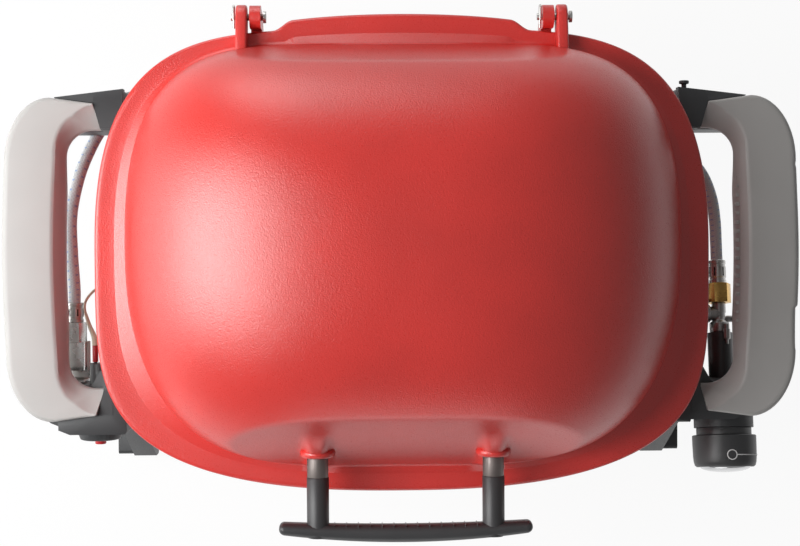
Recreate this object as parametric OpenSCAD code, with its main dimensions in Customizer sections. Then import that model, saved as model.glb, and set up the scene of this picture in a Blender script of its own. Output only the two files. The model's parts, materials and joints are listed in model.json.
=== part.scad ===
// Portable gas grill with a domed lid, side grips and a single burner.
// Millimetres, +Z up, front towards -Y. The origin is on the ground under the middle of the grill.

/* [Lid] */
// Width of the lid over its rim
lid_w = 535; // [510:1:560]
// Depth of the lid over its rim, without the rear bulge
lid_d = 406; // [390:1:425]
// Height of the lid above the seam
lid_rise = 146; // [135:1:160]
// Wall of the lid casting
lid_wall = 4; // [3:0.5:5]
// Height of the rim's outer edge
rim_edge = 7; // [6:0.5:9]
// Width of the rim flange at the sides
flange_side = 28.5; // [25:0.5:32]
// Width of the rim flange at the front
flange_front = 24; // [20:1:27]
// Width of the rim flange at the back
flange_back = 18; // [15:1:22]
// Lean of the flat front face from the horizontal, in degrees
front_lean = 63; // [60:1:68]
// Lean of the flat rear face from the horizontal, in degrees
rear_lean = 73; // [68:1:78]
// Width of the bulge in the rear rim
bulge_w = 190; // [160:1:210]
// Amount that the bulge stands out past the rear rim
bulge_out = 13; // [9:0.5:14]

/* [Lid handle] */
// Distance between the two handle posts
handle_gap = 148.5; // [130:0.5:165]
// Height of the handle above the seam
handle_rise = 47; // [42:1:52]
// Reach of the handle bar in front of the rim
handle_reach = 36; // [30:1:42]
// Length of the handle bar
bar_len = 214; // [200:1:230]
// Thickness of the handle bar in the middle
bar_mid = 15; // [13:0.5:18]
// Diameter of the handle posts
post_d = 19; // [17:0.5:21]
// Length of the metal sleeve on each post
sleeve_len = 17; // [12:1:20]

/* [Hinges] */
// Distance of each hinge from the middle
hinge_x = 132; // [125:0.5:145]
// Height of the hinge axis above the seam
hinge_rise = 10; // [9:0.5:14]
// Distance of the hinge axis behind the rim
hinge_back = 5.5; // [5:0.5:8]
// Width of each hinge lug
lug_w = 9.5; // [8:0.5:11]
// Radius of the round end of the lugs
lug_r = 10.5; // [9:0.5:11]
// Gap between a lid lug and its cookbox lug
lug_gap = 2.2; // [1.5:0.1:3]
// Diameter of the hinge pins
pin_d = 6; // [5:0.5:8]

/* [Cookbox] */
// Height of the seam between lid and cookbox above the ground
seam_h = 220; // [214:1:230]
// Height of the cookbox floor above the ground
floor_h = 112; // [110:1:116]
// Wall of the cookbox casting
box_wall = 4; // [3.5:0.5:5]
// Depth of the grate ledge below the seam
ledge_drop = 34; // [30:1:38]
// Diameter of the drain hole in the floor
drain_d = 56; // [40:1:70]

/* [Burner] */
// Diameter of the burner tube
burner_d = 19; // [16:0.5:20]
// Length of the burner loop between tube centres
burner_l = 300; // [270:1:310]
// Depth of the burner loop between tube centres
burner_b = 140; // [125:1:150]
// Corner radius of the burner loop
burner_r = 45; // [35:1:50]
// Height of the burner above the cookbox floor
burner_rise = 26; // [24:1:28]

/* [Grates] */
// Height of the cooking grates
grate_h = 10; // [8:0.5:12]
// Spacing of the grate bars
grate_pitch = 16; // [13:0.5:20]
// Width of a grate bar
grate_bar = 6; // [5:0.5:8]

/* [Frame] */
// Thickness of the legs
leg_t = 22; // [20:1:23]
// Gap between the widest part of the cookbox rim and the inner face of the legs, measured inwards
leg_inset = 23.5; // [22:0.5:24]
// Height of the rails above the ground
rail_h = 120; // [119:0.5:121]
// Thickness of the rails
rail_t = 20; // [16:1:22]
// Width of the rails
rail_w = 22; // [18:1:24]
// Height of the foot pads
pad_h = 6; // [4:0.5:8]
// Diameter of the foot pads
pad_d = 30; // [24:1:32]

/* [Side grips] */
// Width over the two side grips
grip_span = 702; // [690:1:715]
// Length of a side grip from front to back
grip_len = 284; // [278:1:290]
// Width of a grip across the bar
grip_w = 48; // [42:1:50]
// Height of the grip's top below the seam
grip_drop = 4; // [2:0.5:8]
// Height of the grip's bar
grip_h = 38; // [34:1:40]

/* [Gas line] */
// Distance of the gas valve from the middle
valve_x = 297; // [295:0.5:300]
// Upward tilt of the valve stem, in degrees
stem_tilt = 10; // [8:0.5:11]
// Diameter of the control knob
knob_d = 58; // [54:1:62]
// Depth of the control knob
knob_len = 29; // [25:1:32]
// Diameter of the valve stem
stem_d = 8; // [7:0.5:9]
// Travel of the knob when it is pushed in
push_travel = 3; // [2:0.5:3.5]
// Diameter of the gas hose
hose_d = 11; // [10:0.5:12]
// Distance of the gas inlet line from the middle
inlet_x = 300; // [297:0.5:303]
// Diameter of the gas inlet spigot
spigot_d = 13.16; // [12:0.02:14]
// Length of the gas inlet spigot
spigot_len = 14; // [12:0.5:18]

/* [Igniter] */
// Distance of the igniter from the middle
igniter_x = 274; // [273:0.5:276]
// Diameter of the igniter body
igniter_d = 18; // [16:0.5:19]
// Diameter of the igniter button
button_d = 10; // [8:0.5:12]
// Travel of the igniter button
button_travel = 3.5; // [2:0.5:4]

/* [Drip tray] */
// Width of the drip tray inside its lip
tray_w = 206; // [190:1:215]
// Length of the drip tray
tray_l = 170; // [150:1:180]
// Depth of the drip tray
tray_h = 30; // [24:1:34]

/* [Fits] */
// Running clearance of pins and shafts, on the radius
run_gap = 0.05; // [0.02:0.01:0.1]
// Clearance round screws, on the radius
screw_gap = 0.1; // [0.05:0.05:0.3]
// Gap between faces that move past each other
face_gap = 0.4; // [0.3:0.1:0.6]

/* [Hidden] */
$fn = 48;

// Colours
lid_red = [0.80, 0.22, 0.19];
charcoal = [0.24, 0.25, 0.26];
near_black = [0.13, 0.13, 0.14];
warm_grey = [0.80, 0.78, 0.75];
steel = [0.72, 0.72, 0.72];
brass = [0.78, 0.60, 0.28];
iron = [0.20, 0.20, 0.20];
cream = [0.88, 0.84, 0.74];

// Plan of the lid, measured from the middle of the lid
around = 64;
lid_a = lid_w/2;
lid_b = lid_d/2;
rim_rear = lid_b - 4;
rim_front_ex = 2.5;
rim_front_ey = 4.1;
rim_rear_ex = 4.6;
rim_rear_ey = 2.6;
dome_a = lid_a - flange_side;
dome_y = 7.4;
dome_front = lid_b - flange_front + dome_y;
dome_rear = lid_b - flange_back - dome_y;
dome_front_ex = 4.0;
dome_front_ey = 2.2;
dome_rear_ex = 5.0;
dome_rear_ey = 2.6;
dome_p = 2.7;
dome_q = 2.0;
crease = 3.5;
bulge_ramp = 17;
bulge_bow = 4.5;

// Heights of the lid
flange_rise = 5;
dome_z = seam_h + rim_edge + flange_rise;
dome_h = lid_rise - rim_edge - flange_rise;
outer_rings = 16;
inner_rings = 8;

// Hinges, and the place of the lid's middle
hinge_y = lid_b + hinge_back;
hinge_z = seam_h + hinge_rise;
lid_y = (handle_reach - hinge_back - lug_r)/2;
pin_r = pin_d/2;
pin_past = 4.5;
pin_head = 2.5;
pin_half = lug_gap/2 + lug_w + pin_past;
clip_wire = 1.1;
clip_in = 2.5;
clip_len = 17;

// Handle
handle_x = handle_gap/2;
handle_z = seam_h + handle_rise;
boss_r = 15;
boss_front = lid_b - 36.5;
boss_len = 18;
sleeve_front = boss_front + sleeve_len;
bar_front = lid_b + handle_reach;
bar_end = 10;
bar_bow = 6;
bar_tall = 20;
handle_screw_r = 3;
handle_screw_in = 16;

// Cookbox
box_top = seam_h - face_gap;
box_rim_in = 2;
box_rim_t = 7.6;
box_neck = 16;
ledge_z = seam_h - ledge_drop;
ledge_in = 32 + box_wall;
box_deep = ledge_z - floor_h;
floor_in = 95;
hip_in = 66;
waist_in = 40;
hip_z = floor_h + box_deep*0.22;
waist_z = floor_h + box_deep*0.51;
shoulder_z = floor_h + box_deep*0.89;
neck_z = ledge_z + (box_top - ledge_z)*0.57;
boss_x = 150;
rail_y = 137;
box_boss_r = 9;
box_boss_top = floor_h + box_deep*0.43;

// Grates
grate_in = 23.5 + box_wall;
grate_ring = 9;
grate_split = 1.5;

// Burner and the wires through the left wall
burner_z = floor_h + burner_rise;
burner_rad = burner_d/2;
burner_bore = burner_rad - 2;
support_x = 60;
support_w = 14;
support_wall = 4;
valve_y = -55;
burner_end = valve_x - 16;
shutter_t = 2.5;
wall_pass_z = floor_h + 46;
electrode_y = -24;
ground_y = -44;
electrode_r = 4;
ground_r = 2.5;
wire_end_x = 258;

// End frames
leg_x = lid_a - leg_inset;
leg_out = leg_x + leg_t;
cover_x = leg_x + 20;
arm_top = seam_h - 12;
arm_seat = seam_h - 30;
arm_low = seam_h - 80;
grip_half = grip_len/2;
house_front = grip_half + 12;
neck_house_front = grip_half + 3;
house_back = grip_half - 43;
house_step = grip_half - 29;
house_out = 316;
rear_arm_in = grip_half - 28.5;
rear_arm_out = grip_half + 7.5;
rear_out = 303;
rear_taper = 7;
foot_top = 24;
foot_w = 38;
front_foot = [-200, -165];
rear_foot = [130, 165];
bar_low = rail_h - rail_t;
bar_high = rail_h + 2;
pad_x = leg_x + foot_w/2;

// Side grips
grip_x = grip_span/2;
grip_in = grip_x - grip_w;
grip_bow = 3;
grip_r = 40;
grip_ry = 58;
grip_in_r = 24;
grip_bend = grip_x - grip_bow - grip_r;
grip_top = seam_h - grip_drop;
arm_out = grip_half - 6;
arm_in = grip_half - 28;
grip_seat_gap = 0.05;

// Valve line, measured along the stem from the valve's middle
valve_z = burner_z;
valve_r = 10;
valve_back = -10;
valve_front = 18;
thread_r = 7;
nut_end = -28;
nut_flats = 21;
ferrule_end = -50;
ferrule_wall = 2.5;
crimp_out = 0.6;
sleeve_r = 11.5;
sleeve_bore = 8;
sleeve_end = 66;
neck_r = 27;
neck_end = 106;
bezel_t = 9.5;
knob_back = neck_end + push_travel + 4;
knob_recess = 10;
cap_rise = 5;
knob_front = knob_back + knob_len;
stem_r = stem_d/2;
stem_in = 6;

// Inlet line and igniter
inlet_z = seam_h - 72;
fit_front = -102;
fit_back = -76;
fit_half = 9;
spigot_y = (fit_front + fit_back)/2;
inlet_nut_back = -58;
inlet_ferrule_back = -40;
igniter_z = seam_h - 52;
igniter_r = igniter_d/2;
igniter_back = -94;
button_r = button_d/2;
button_in = 6;
button_hole = button_in + button_travel + 4.5;
bezel_r = 21;
bezel_len = 9;
terminal_x = 4;
terminal_r = 1.5;
terminal_len = 14;
terminal_sleeve_r = 2.6;
terminal_sleeve_len = 15;

// Drip tray and runners
runner_z = rail_h - rail_t;
tray_lip = 8;
lip_t = 2;
lip_overlap = 4;
channel_h = 12;
shelf_z = runner_z - channel_h;
web_x = tray_w/2 + tray_lip + 2;
runner_t = 2;
runner_flange = 15;
runner_screw_x = web_x + 8;

// Screws
small_r = 2.5;
small_head = 4.5;
head_h = 3;

// Middle line of the gas hose, from the inlet ferrule to the valve ferrule
hose_route = [
    [-300, -39.85, 148], [-300, -25, 148], [-302, 5, 147], [-303, 40, 143], [-297, 75, 136], [-287, 102, 131],
    [-276, 121, 128], [-262, 132, 127], [-244, 140, 127.5], [-225, 150, 127.5], [-208, 158, 121],
    [-190, 159, 115], [-170, 158, 112], [-135, 158, 112], [-70, 158, 112], [0, 158, 112], [70, 158, 112],
    [135, 158, 112], [170, 158, 112], [190, 158.5, 116], [208, 153, 124.5], [222, 132, 128], [236, 111, 129],
    [253, 99, 130], [270, 90, 129.5], [284, 75, 126.5], [293, 54, 124], [296.5, 32, 124], [297, 12, 126.2],
    [297, -5.61, 129.29]
];
hose_steps = 3;
clip_x = [-135, 0, 135];
clip_y = 158;
clip_z = 112;

// Middle lines of the igniter wires, from the terminals to the cookbox wall
wire_r = 1.6;
live_wire = [
    [-278, -77.9, 168], [-279, -70, 168], [-283, -60, 168], [-287, -48, 166.5], [-287, -38, 163],
    [-279, -28, 160], [-268, -24, 158], [-258.1, -24, 158]
];
ground_wire = [
    [-270, -77.9, 168], [-270, -72, 168], [-271, -64, 167], [-273, -55, 164], [-271, -48, 160],
    [-266, -44, 158], [-258.1, -44, 158]
];
wire_steps = 3;

// Points and rings

function unit(v) = v/norm(v);

function smooth(t) = let (c = min(1, max(0, t))) c*c*(3 - 2*c);

function smooth_min(a, b, k) = let (h = max(k - abs(a - b), 0)/k) min(a, b) - h*h*k/4;

// Distance from the middle to a rounded outline, in one direction
function outline_r(t, a, b, ex, ey, lo, hi, n = 22) =
    let (r = (lo + hi)/2, v = pow(abs(r*cos(t))/a, ex) + pow(abs(r*sin(t))/b, ey))
    n == 0 ? r : v > 1 ? outline_r(t, a, b, ex, ey, lo, r, n - 1) : outline_r(t, a, b, ex, ey, r, hi, n - 1);

// Distance from the middle to the rim outline, set in from the rim and squarer at the back
function rim_r(t, inset) =
    let (a = lid_a - inset, b = (sin(t) < 0 ? lid_b : rim_rear) - inset)
    sin(t) < 0 ? outline_r(t, a, b, rim_front_ex, rim_front_ey, 0, a + b)
    : outline_r(t, a, b, rim_rear_ex, rim_rear_ey, 0, a + b);

function rim_pt(t, inset) = rim_r(t, inset)*[cos(t), sin(t)];

function rim_outline(inset) = [for (i = [0:around - 1]) rim_pt(360*i/around, inset)];

function rim_ring(inset, z) = [for (p = rim_outline(inset)) [p[0], p[1], z]];

// Distance from the lid's middle line to the rim outline, in front of it and behind it
function rim_ahead(x, inset) =
    (lid_b - inset)*pow(max(0, 1 - pow(abs(x)/(lid_a - inset), rim_front_ex)), 1/rim_front_ey);

function rim_behind(x, inset) =
    (rim_rear - inset)*pow(max(0, 1 - pow(abs(x)/(lid_a - inset), rim_rear_ex)), 1/rim_rear_ey);

function bulge(x) =
    (bulge_out - bulge_bow*pow(2*x/bulge_w, 2))*smooth((bulge_w/2 + bulge_ramp - abs(x))/bulge_ramp);

function lid_rim_ring(inset, z) =
    [for (p = rim_ring(inset, z)) [p[0], p[1] + (p[1] > 0 ? bulge(p[0]) : 0), p[2]]];

// Distance from the dome's middle to its base, which is squarer at the back than at the front
function dome_r(t, skin) =
    let (a = dome_a - skin, b = (sin(t) < 0 ? dome_front : dome_rear) - skin)
    sin(t) < 0 ? outline_r(t, a, b, dome_front_ex, dome_front_ey, 0, a + b)
    : outline_r(t, a, b, dome_rear_ex, dome_rear_ey, 0, a + b);

// Point of the dome: fall is 0 at the top and 90 at the base, skin is the depth under the outer face
function dome_pt(t, fall, skin) =
    let (
        r = dome_r(t, skin)*pow(sin(fall), 2/dome_p),
        y = dome_y + r*sin(t),
        top = (dome_h - skin)*pow(max(0, cos(fall)), 2/dome_q),
        front = (y + lid_b - flange_front - skin/sin(front_lean))*tan(front_lean),
        rear = (lid_b - flange_back - skin/sin(rear_lean) - y)*tan(rear_lean)
    )
    [r*cos(t), y, dome_z + max(0, smooth_min(smooth_min(top, front, crease), rear, crease))];

function dome_ring(fall, skin) = [for (i = [0:around - 1]) dome_pt(360*i/around, fall, skin)];

// Ring part way between the dome's base and the rim
function mix_ring(a, b, t, z) = [for (i = [0:len(a) - 1]) let (p = a[i]*(1 - t) + b[i]*t) [p[0], p[1], z]];

function circle_ring(r, z) = [for (i = [0:around - 1]) [r*cos(360*i/around), r*sin(360*i/around), z]];

// Outline with each corner replaced by an arc
function corner(a, p, b, r, n) =
    let (
        u = unit(a - p),
        v = unit(b - p),
        half = acos(u*v)/2,
        c = p + unit(u + v)*r/sin(half),
        s = p + u*r/tan(half) - c,
        e = p + v*r/tan(half) - c,
        w = 180 - 2*half
    )
    [for (i = [0:n]) c + (s*sin(w*(1 - i/n)) + e*sin(w*i/n))/sin(w)];

function rounded(pts, r, n = 5) =
    let (m = len(pts))
    [for (i = [0:m - 1]) each corner(pts[(i + m - 1)%m], pts[i], pts[(i + 1)%m], r, n)];

function box_outline(x0, x1, y0, y1) = [[x0, y0], [x1, y0], [x1, y1], [x0, y1]];

function bend(c, rx, ry, from, to, n) =
    [for (i = [0:n]) let (t = from + (to - from)*i/n) c + [rx*cos(t), ry*sin(t)]];

// Smooth curve through the points of a route
function spline(p, n) =
    let (last = len(p) - 1)
    concat([for (i = [0:last - 1], j = [0:n - 1])
        let (t = j/n, a = p[max(i - 1, 0)], b = p[i], c = p[i + 1], d = p[min(i + 2, last)])
        (2*b + (c - a)*t + (2*a - 5*b + 4*c - d)*t*t + (3*b - a - 3*c + d)*t*t*t)/2], [p[last]]);

function tube_ring(p, dir, r, n) =
    let (side = unit(cross(dir, [0, 0, 1])), up = cross(side, dir))
    [for (i = [0:n - 1]) p + r*(side*cos(360*i/n) + up*sin(360*i/n))];

function tube_rings(path, r, n) =
    let (last = len(path) - 1)
    [for (i = [0:last]) tube_ring(path[i], unit(path[min(i + 1, last)] - path[max(i - 1, 0)]), r, n)];

// Rounded section between an outer and an inner plan point, from one height to another
function soft_power(v, n) = sign(v)*pow(abs(v), 2/n);

function soft_section(outer, inner, low, high, n, sides) =
    let (mid = (outer + inner)/2, half = (outer - inner)/2)
    [for (i = [0:sides - 1])
        let (t = 360*i/sides, p = mid + half*soft_power(cos(t), n))
        [p[0], p[1], (low + high)/2 + (high - low)/2*soft_power(sin(t), n)]];

// Shared solids

module at_lid() translate([0, lid_y, 0]) children();

// Solid through a list of rings, capped at its ends or closed into a loop
module loft(rings, loop = false) {
    n = len(rings[0]);
    m = len(rings);
    rows = loop ? m : m - 1;
    sides = [for (i = [0:rows - 1], j = [0:n - 1])
        let (k = (i + 1)%m, p = i*n + j, q = i*n + (j + 1)%n, s = k*n + j, t = k*n + (j + 1)%n)
        each [[p, s, q], [q, s, t]]];
    low = [for (j = [1:n - 2]) [0, j, j + 1]];
    high = [for (j = [1:n - 2]) [(m - 1)*n, (m - 1)*n + j + 1, (m - 1)*n + j]];
    polyhedron([for (r = rings) each r], loop ? sides : concat(sides, low, high));
}

// Extrusion along +X of an outline in Y and Z
module along_x(x, len) translate([x, 0, 0]) rotate([90, 0, 90]) linear_extrude(len) children();

// Extrusion along +Y of an outline in X and Z
module along_y(y, len) translate([0, y + len, 0]) rotate([90, 0, 0]) linear_extrude(len) children();

// Cylinders along X and Y, from one end to the other
module rod_x(r, x0, x1, y, z) translate([x0, y, z]) rotate([0, 90, 0]) cylinder(r = r, h = x1 - x0);

module rod_y(r, y0, y1, x, z) translate([x, y1, z]) rotate([90, 0, 0]) cylinder(r = r, h = y1 - y0);

module both_sides() {
    children();
    mirror([1, 0, 0]) children();
}

// Frame of the valve line: +Z runs forward along the stem
module valve_line() at_lid() translate([valve_x, valve_y, valve_z]) rotate([90 - stem_tilt, 0, 0]) children();

module ring_z(outer, inner, z0, z1) translate([0, 0, z0]) difference() {
    cylinder(r = outer, h = z1 - z0);
    translate([0, 0, -1]) cylinder(r = inner, h = z1 - z0 + 2);
}

// Upright screw with its head below
module screw_up(z0, z1, r, head) translate([0, 0, z0]) {
    cylinder(r = r, h = z1 - z0);
    translate([0, 0, -head_h]) difference() {
        cylinder(r = head, h = head_h);
        translate([0, 0, -1]) cylinder(r = head*0.5, h = 1 + head_h*0.5, $fn = 6);
    }
}

// Lid and its handle

module lid_shell() {
    inner = [for (k = [1:inner_rings]) dome_ring(90*k/inner_rings, lid_wall)];
    outer = [for (k = [0:outer_rings - 1]) dome_ring(90*(outer_rings - k)/outer_rings, 0)];
    rim = lid_rim_ring(0, seam_h);
    edge_z = seam_h + rim_edge;
    loft(concat(inner, [
        lid_rim_ring(lid_wall, edge_z - lid_wall),
        lid_rim_ring(lid_wall, seam_h),
        rim,
        lid_rim_ring(0, edge_z - 2),
        lid_rim_ring(2, edge_z),
        mix_ring(outer[0], rim, 0.25, dome_z - flange_rise*0.45)
    ], outer));
}

// Fairing that runs up the front face above a handle boss and sinks into the face at its tip
module boss_fairing() {
    foot_y = -(lid_b - flange_front) + (handle_z - dome_z)/tan(front_lean);
    front_gap = 0.5;
    sink = 4;
    intersection() {
        translate([handle_x, foot_y, handle_z]) rotate([front_lean - 90, 0, 0]) intersection() {
            rotate([-sink, 0, 0]) cylinder(r1 = boss_r*0.75, r2 = 2, h = dome_h*0.38, $fn = 30);
            translate([-boss_r, -boss_r*2, -boss_r]) cube([boss_r*2, boss_r*2 + lid_wall/2, dome_h]);
        }
        translate([0, -boss_front + front_gap, dome_z]) cube([lid_a, lid_b, dome_h]);
    }
}

module lid_lug() {
    in_y = lid_b - flange_back - 2;
    along_x(hinge_x + lug_gap/2, lug_w) polygon([
        [in_y - 5, dome_z - 3], [in_y - 3, dome_z + 14], [hinge_y, hinge_z + lug_r],
        [hinge_y, hinge_z - lug_r + 1], [in_y + 14, seam_h + 3], [in_y, dome_z - 6]
    ]);
    rod_x(lug_r, hinge_x + lug_gap/2, hinge_x + lug_gap/2 + lug_w, hinge_y, hinge_z);
}

module lid() color(lid_red) at_lid() difference() {
    union() {
        lid_shell();
        both_sides() {
            lid_lug();
            rod_y(boss_r, -boss_front, -boss_front + boss_len, handle_x, handle_z);
            boss_fairing();
        }
    }
    both_sides() {
        rod_x(pin_r + run_gap, hinge_x - 1, hinge_x + lug_gap + lug_w + 1, hinge_y, hinge_z);
        rod_y(handle_screw_r + screw_gap, -boss_front - 1, -boss_front + boss_len + 1, handle_x, handle_z);
    }
}

// Stations of the handle bar: thinner and set back towards its ends
bar_stations = 20;

function bar_ring(u) =
    let (
        ends = 1 - pow(abs(u), 12)*0.6,
        thick = (bar_mid - (bar_mid - bar_end)*u*u)*ends,
        x = u*bar_len/2,
        y = -bar_front + bar_bow*u*u,
        tall = bar_tall/2*ends
    )
    soft_section([x, y], [x, y + thick], handle_z - tall, handle_z + tall, 3, 16);

module lid_handle() color(near_black) at_lid() difference() {
    union() {
        loft([for (i = [0:bar_stations]) bar_ring(1 - 2*i/bar_stations)]);
        both_sides() rod_y(post_d/2, -bar_front + bar_mid*0.6, -sleeve_front, handle_x, handle_z);
    }
    both_sides() rod_y(handle_screw_r + screw_gap, -sleeve_front - handle_screw_in - 1, -sleeve_front + 1,
        handle_x, handle_z);
}

module handle_sleeves() color(steel) at_lid() both_sides() difference() {
    rod_y(post_d/2 - 0.5, -sleeve_front, -boss_front, handle_x, handle_z);
    rod_y(handle_screw_r + screw_gap, -sleeve_front - 1, -boss_front + 1, handle_x, handle_z);
}

module handle_screws() color(steel) at_lid() both_sides() {
    back = -boss_front + boss_len;
    rod_y(handle_screw_r, -sleeve_front - handle_screw_in, back, handle_x, handle_z);
    difference() {
        rod_y(handle_screw_r*2, back, back + head_h, handle_x, handle_z);
        rod_y(handle_screw_r, back + head_h/2, back + head_h + 1, handle_x, handle_z, $fn = 6);
    }
}

// Cookbox, hinge pins and grates

module cookbox_shell() {
    drain = drain_d/2;
    wall = box_wall;
    loft([
        circle_ring(drain, floor_h),
        rim_ring(floor_in, floor_h),
        rim_ring(hip_in, hip_z),
        rim_ring(waist_in, waist_z),
        rim_ring(box_neck + 6, shoulder_z),
        rim_ring(box_neck + 2, neck_z),
        rim_ring(box_neck, box_top - box_rim_t),
        rim_ring(box_rim_in, box_top - box_rim_t),
        rim_ring(box_rim_in, box_top),
        rim_ring(box_neck + wall + 1, box_top),
        rim_ring(box_neck + wall + 5, ledge_z),
        rim_ring(ledge_in, ledge_z),
        rim_ring(ledge_in + 2, floor_h + box_deep*0.73),
        rim_ring(waist_in + wall*2, waist_z),
        rim_ring(hip_in + wall*1.5, hip_z + wall/2),
        rim_ring(floor_in + wall/2, floor_h + wall),
        circle_ring(drain, floor_h + wall)
    ], true);
}

module cookbox_lug() {
    x = hinge_x - lug_gap/2 - lug_w;
    in_y = rim_behind(x, box_rim_in);
    along_x(x, lug_w) polygon([
        [in_y - 16, box_top - 14], [in_y - 8, box_top - 2], [hinge_y - 9.5, box_top - 2],
        [hinge_y - lug_r + 1, hinge_z], [hinge_y + lug_r - 1, hinge_z], [hinge_y + 4, box_top - 14],
        [hinge_y - 8, box_top - 22], [in_y - 16, box_top - 26]
    ]);
    rod_x(lug_r - 0.5, x, x + lug_w, hinge_y, hinge_z);
}

module cookbox() color(lid_red) at_lid() difference() {
    union() {
        cookbox_shell();
        both_sides() {
            cookbox_lug();
            for (side = [-1, 1]) translate([boss_x, side*rail_y, rail_h])
                cylinder(r = box_boss_r, h = box_boss_top - rail_h);
        }
    }
    both_sides() {
        rod_x(pin_r + run_gap, hinge_x - lug_gap - lug_w - 2, hinge_x, hinge_y, hinge_z);
        for (side = [-1, 1]) translate([boss_x, side*rail_y, rail_h - 1])
            cylinder(r = small_r + screw_gap, h = 16);
    }
    rod_x(burner_rad + 0.5, lid_a - 80, lid_a, valve_y, burner_z);
    rod_x(electrode_r + screw_gap, -lid_a, -lid_a + 70, electrode_y, wall_pass_z);
    rod_x(ground_r + screw_gap, -lid_a, -lid_a + 70, ground_y, wall_pass_z);
}

module hinge_pin() {
    difference() {
        union() {
            rod_x(pin_r, -pin_half, pin_half, hinge_y, hinge_z);
            rod_x(pin_r*1.7, pin_half - pin_head, pin_half, hinge_y, hinge_z);
        }
        rod_y(clip_wire + screw_gap, hinge_y - pin_r - 1, hinge_y + pin_r + 1, -pin_half + clip_in, hinge_z);
    }
}

module hinge_pins() color(steel) at_lid() for (side = [-1, 1]) translate([side*hinge_x, 0, 0]) hinge_pin();

// Hairpin clip: a straight leg through the pin, an eye, and a leg that rests on top of the pin
module hairpin() {
    over = pin_r + clip_wire + 0.1;
    y1 = hinge_y + lug_r - over/2 - clip_wire;
    translate([-pin_half + clip_in, 0, hinge_z]) {
        rod_y(clip_wire, y1 - clip_len, y1, 0, 0);
        rod_y(clip_wire, hinge_y - pin_r, y1, 0, over);
        translate([0, y1, over/2]) rotate([0, 90, 0])
            rotate_extrude(angle = 180) translate([over/2, 0]) circle(r = clip_wire, $fn = 24);
    }
}

module hairpin_clips() color(steel) at_lid() for (side = [-1, 1]) translate([side*hinge_x, 0, 0]) hairpin();

module grate_half() {
    step = grate_pitch;
    inner_x = grate_split;
    outer_x = lid_a - grate_in - grate_ring;
    translate([0, 0, ledge_z]) {
        linear_extrude(grate_h) intersection() {
            difference() {
                polygon(rim_outline(grate_in));
                polygon(rim_outline(grate_in + grate_ring));
            }
            translate([inner_x, -lid_b]) square([lid_a, lid_d]);
        }
        for (x = [inner_x:step:outer_x]) {
            ahead = rim_ahead(x + grate_bar/2, grate_in + grate_ring/2);
            behind = rim_behind(x + grate_bar/2, grate_in + grate_ring/2);
            translate([x, -ahead, 0]) cube([grate_bar, ahead + behind, grate_h]);
        }
        for (y = [-60, 60]) translate([inner_x, y - grate_bar/2, 0])
            cube([outer_x + grate_ring/2 - inner_x, grate_bar, grate_h*0.6]);
    }
}

module cooking_grate_right() color(iron) at_lid() grate_half();

module cooking_grate_left() color(iron) at_lid() mirror([1, 0, 0]) grate_half();

// Burner and what passes through the cookbox walls

module quarter_bend(x, y, turn) translate([x, y, 0]) rotate([0, 0, turn])
    rotate_extrude(angle = 90) translate([burner_r, 0]) circle(r = burner_rad);

module burner_tube() color(steel) at_lid() difference() {
    x = burner_l/2 - burner_r;
    y = burner_b/2 - burner_r;
    union() {
        translate([0, 0, burner_z]) {
            quarter_bend(x, y, 0);
            quarter_bend(-x, y, 90);
            quarter_bend(-x, -y, 180);
            quarter_bend(x, -y, 270);
            for (side = [-1, 1]) {
                rod_x(burner_rad, -x, x, side*burner_b/2, 0);
                rod_y(burner_rad, -y, y, side*burner_l/2, 0);
            }
        }
        rod_x(burner_rad, burner_l/2 - burner_r*0.25, burner_end, valve_y, burner_z);
    }
    rod_x(burner_bore, burner_l/2 + burner_rad*2, burner_end + 1, valve_y, burner_z);
}

module burner_supports() color(steel) at_lid() for (x = [-support_x, support_x], side = [-1, 1]) difference() {
    foot = floor_h + box_wall;
    translate([x - support_w/2, side*burner_b/2 - burner_rad - support_wall, foot])
        cube([support_w, burner_d + support_wall*2, burner_z - foot]);
    rod_x(burner_rad + screw_gap, x - support_w, x + support_w, side*burner_b/2, burner_z);
}

module air_shutter() color(steel) at_lid() difference() {
    rod_x(burner_rad + 4, burner_end, burner_end + shutter_t, valve_y, burner_z);
    rod_x(burner_bore, burner_end - 1, burner_end + shutter_t + 1, valve_y, burner_z);
}

module igniter_electrode() color(cream) at_lid() {
    inner = -burner_l/2 - 46;
    rod_x(electrode_r, -wire_end_x, inner, electrode_y, wall_pass_z);
    rod_x(electrode_r*0.3, inner, inner + 28, electrode_y, wall_pass_z);
}

module ground_screw() color(steel) at_lid() {
    rod_x(ground_r, -wire_end_x, -lid_a + 52, ground_y, wall_pass_z);
    rod_x(ground_r*2, -wire_end_x, -wire_end_x + 4, ground_y, wall_pass_z, $fn = 6);
}

// End frames, rails and feet

front_leg = [
    [-house_front, arm_low + 20], [-house_front, bar_high - 4], [front_foot[0], foot_top], [front_foot[0], pad_h],
    [front_foot[1], pad_h], [front_foot[1], foot_top], [-rail_y + 15, bar_low + 4], [-house_back, arm_low + 20]
];
rear_leg = [
    [rear_arm_in, arm_low + 20], [rear_arm_in + 4, bar_low + 4], [rear_foot[0], foot_top], [rear_foot[0], pad_h],
    [rear_foot[1], pad_h], [rear_foot[1], foot_top], [rear_arm_out + 3, bar_high - 4], [rear_arm_out, arm_low + 20]
];

// Plan of the arms: the outer corners are cut back as the arms reach under the grip
function front_arm_plan(front) = [
    [leg_x, -front], [house_out - 22, -front], [house_out, -front + 9], [house_out, -house_step],
    [cover_x + 14, -house_step], [cover_x + 6, -house_back], [leg_x, -house_back]
];
rear_arm_plan = [
    [leg_x, rear_arm_in], [rear_out, rear_arm_in], [rear_out, rear_arm_out - rear_taper], [leg_x, rear_arm_out]
];

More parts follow.
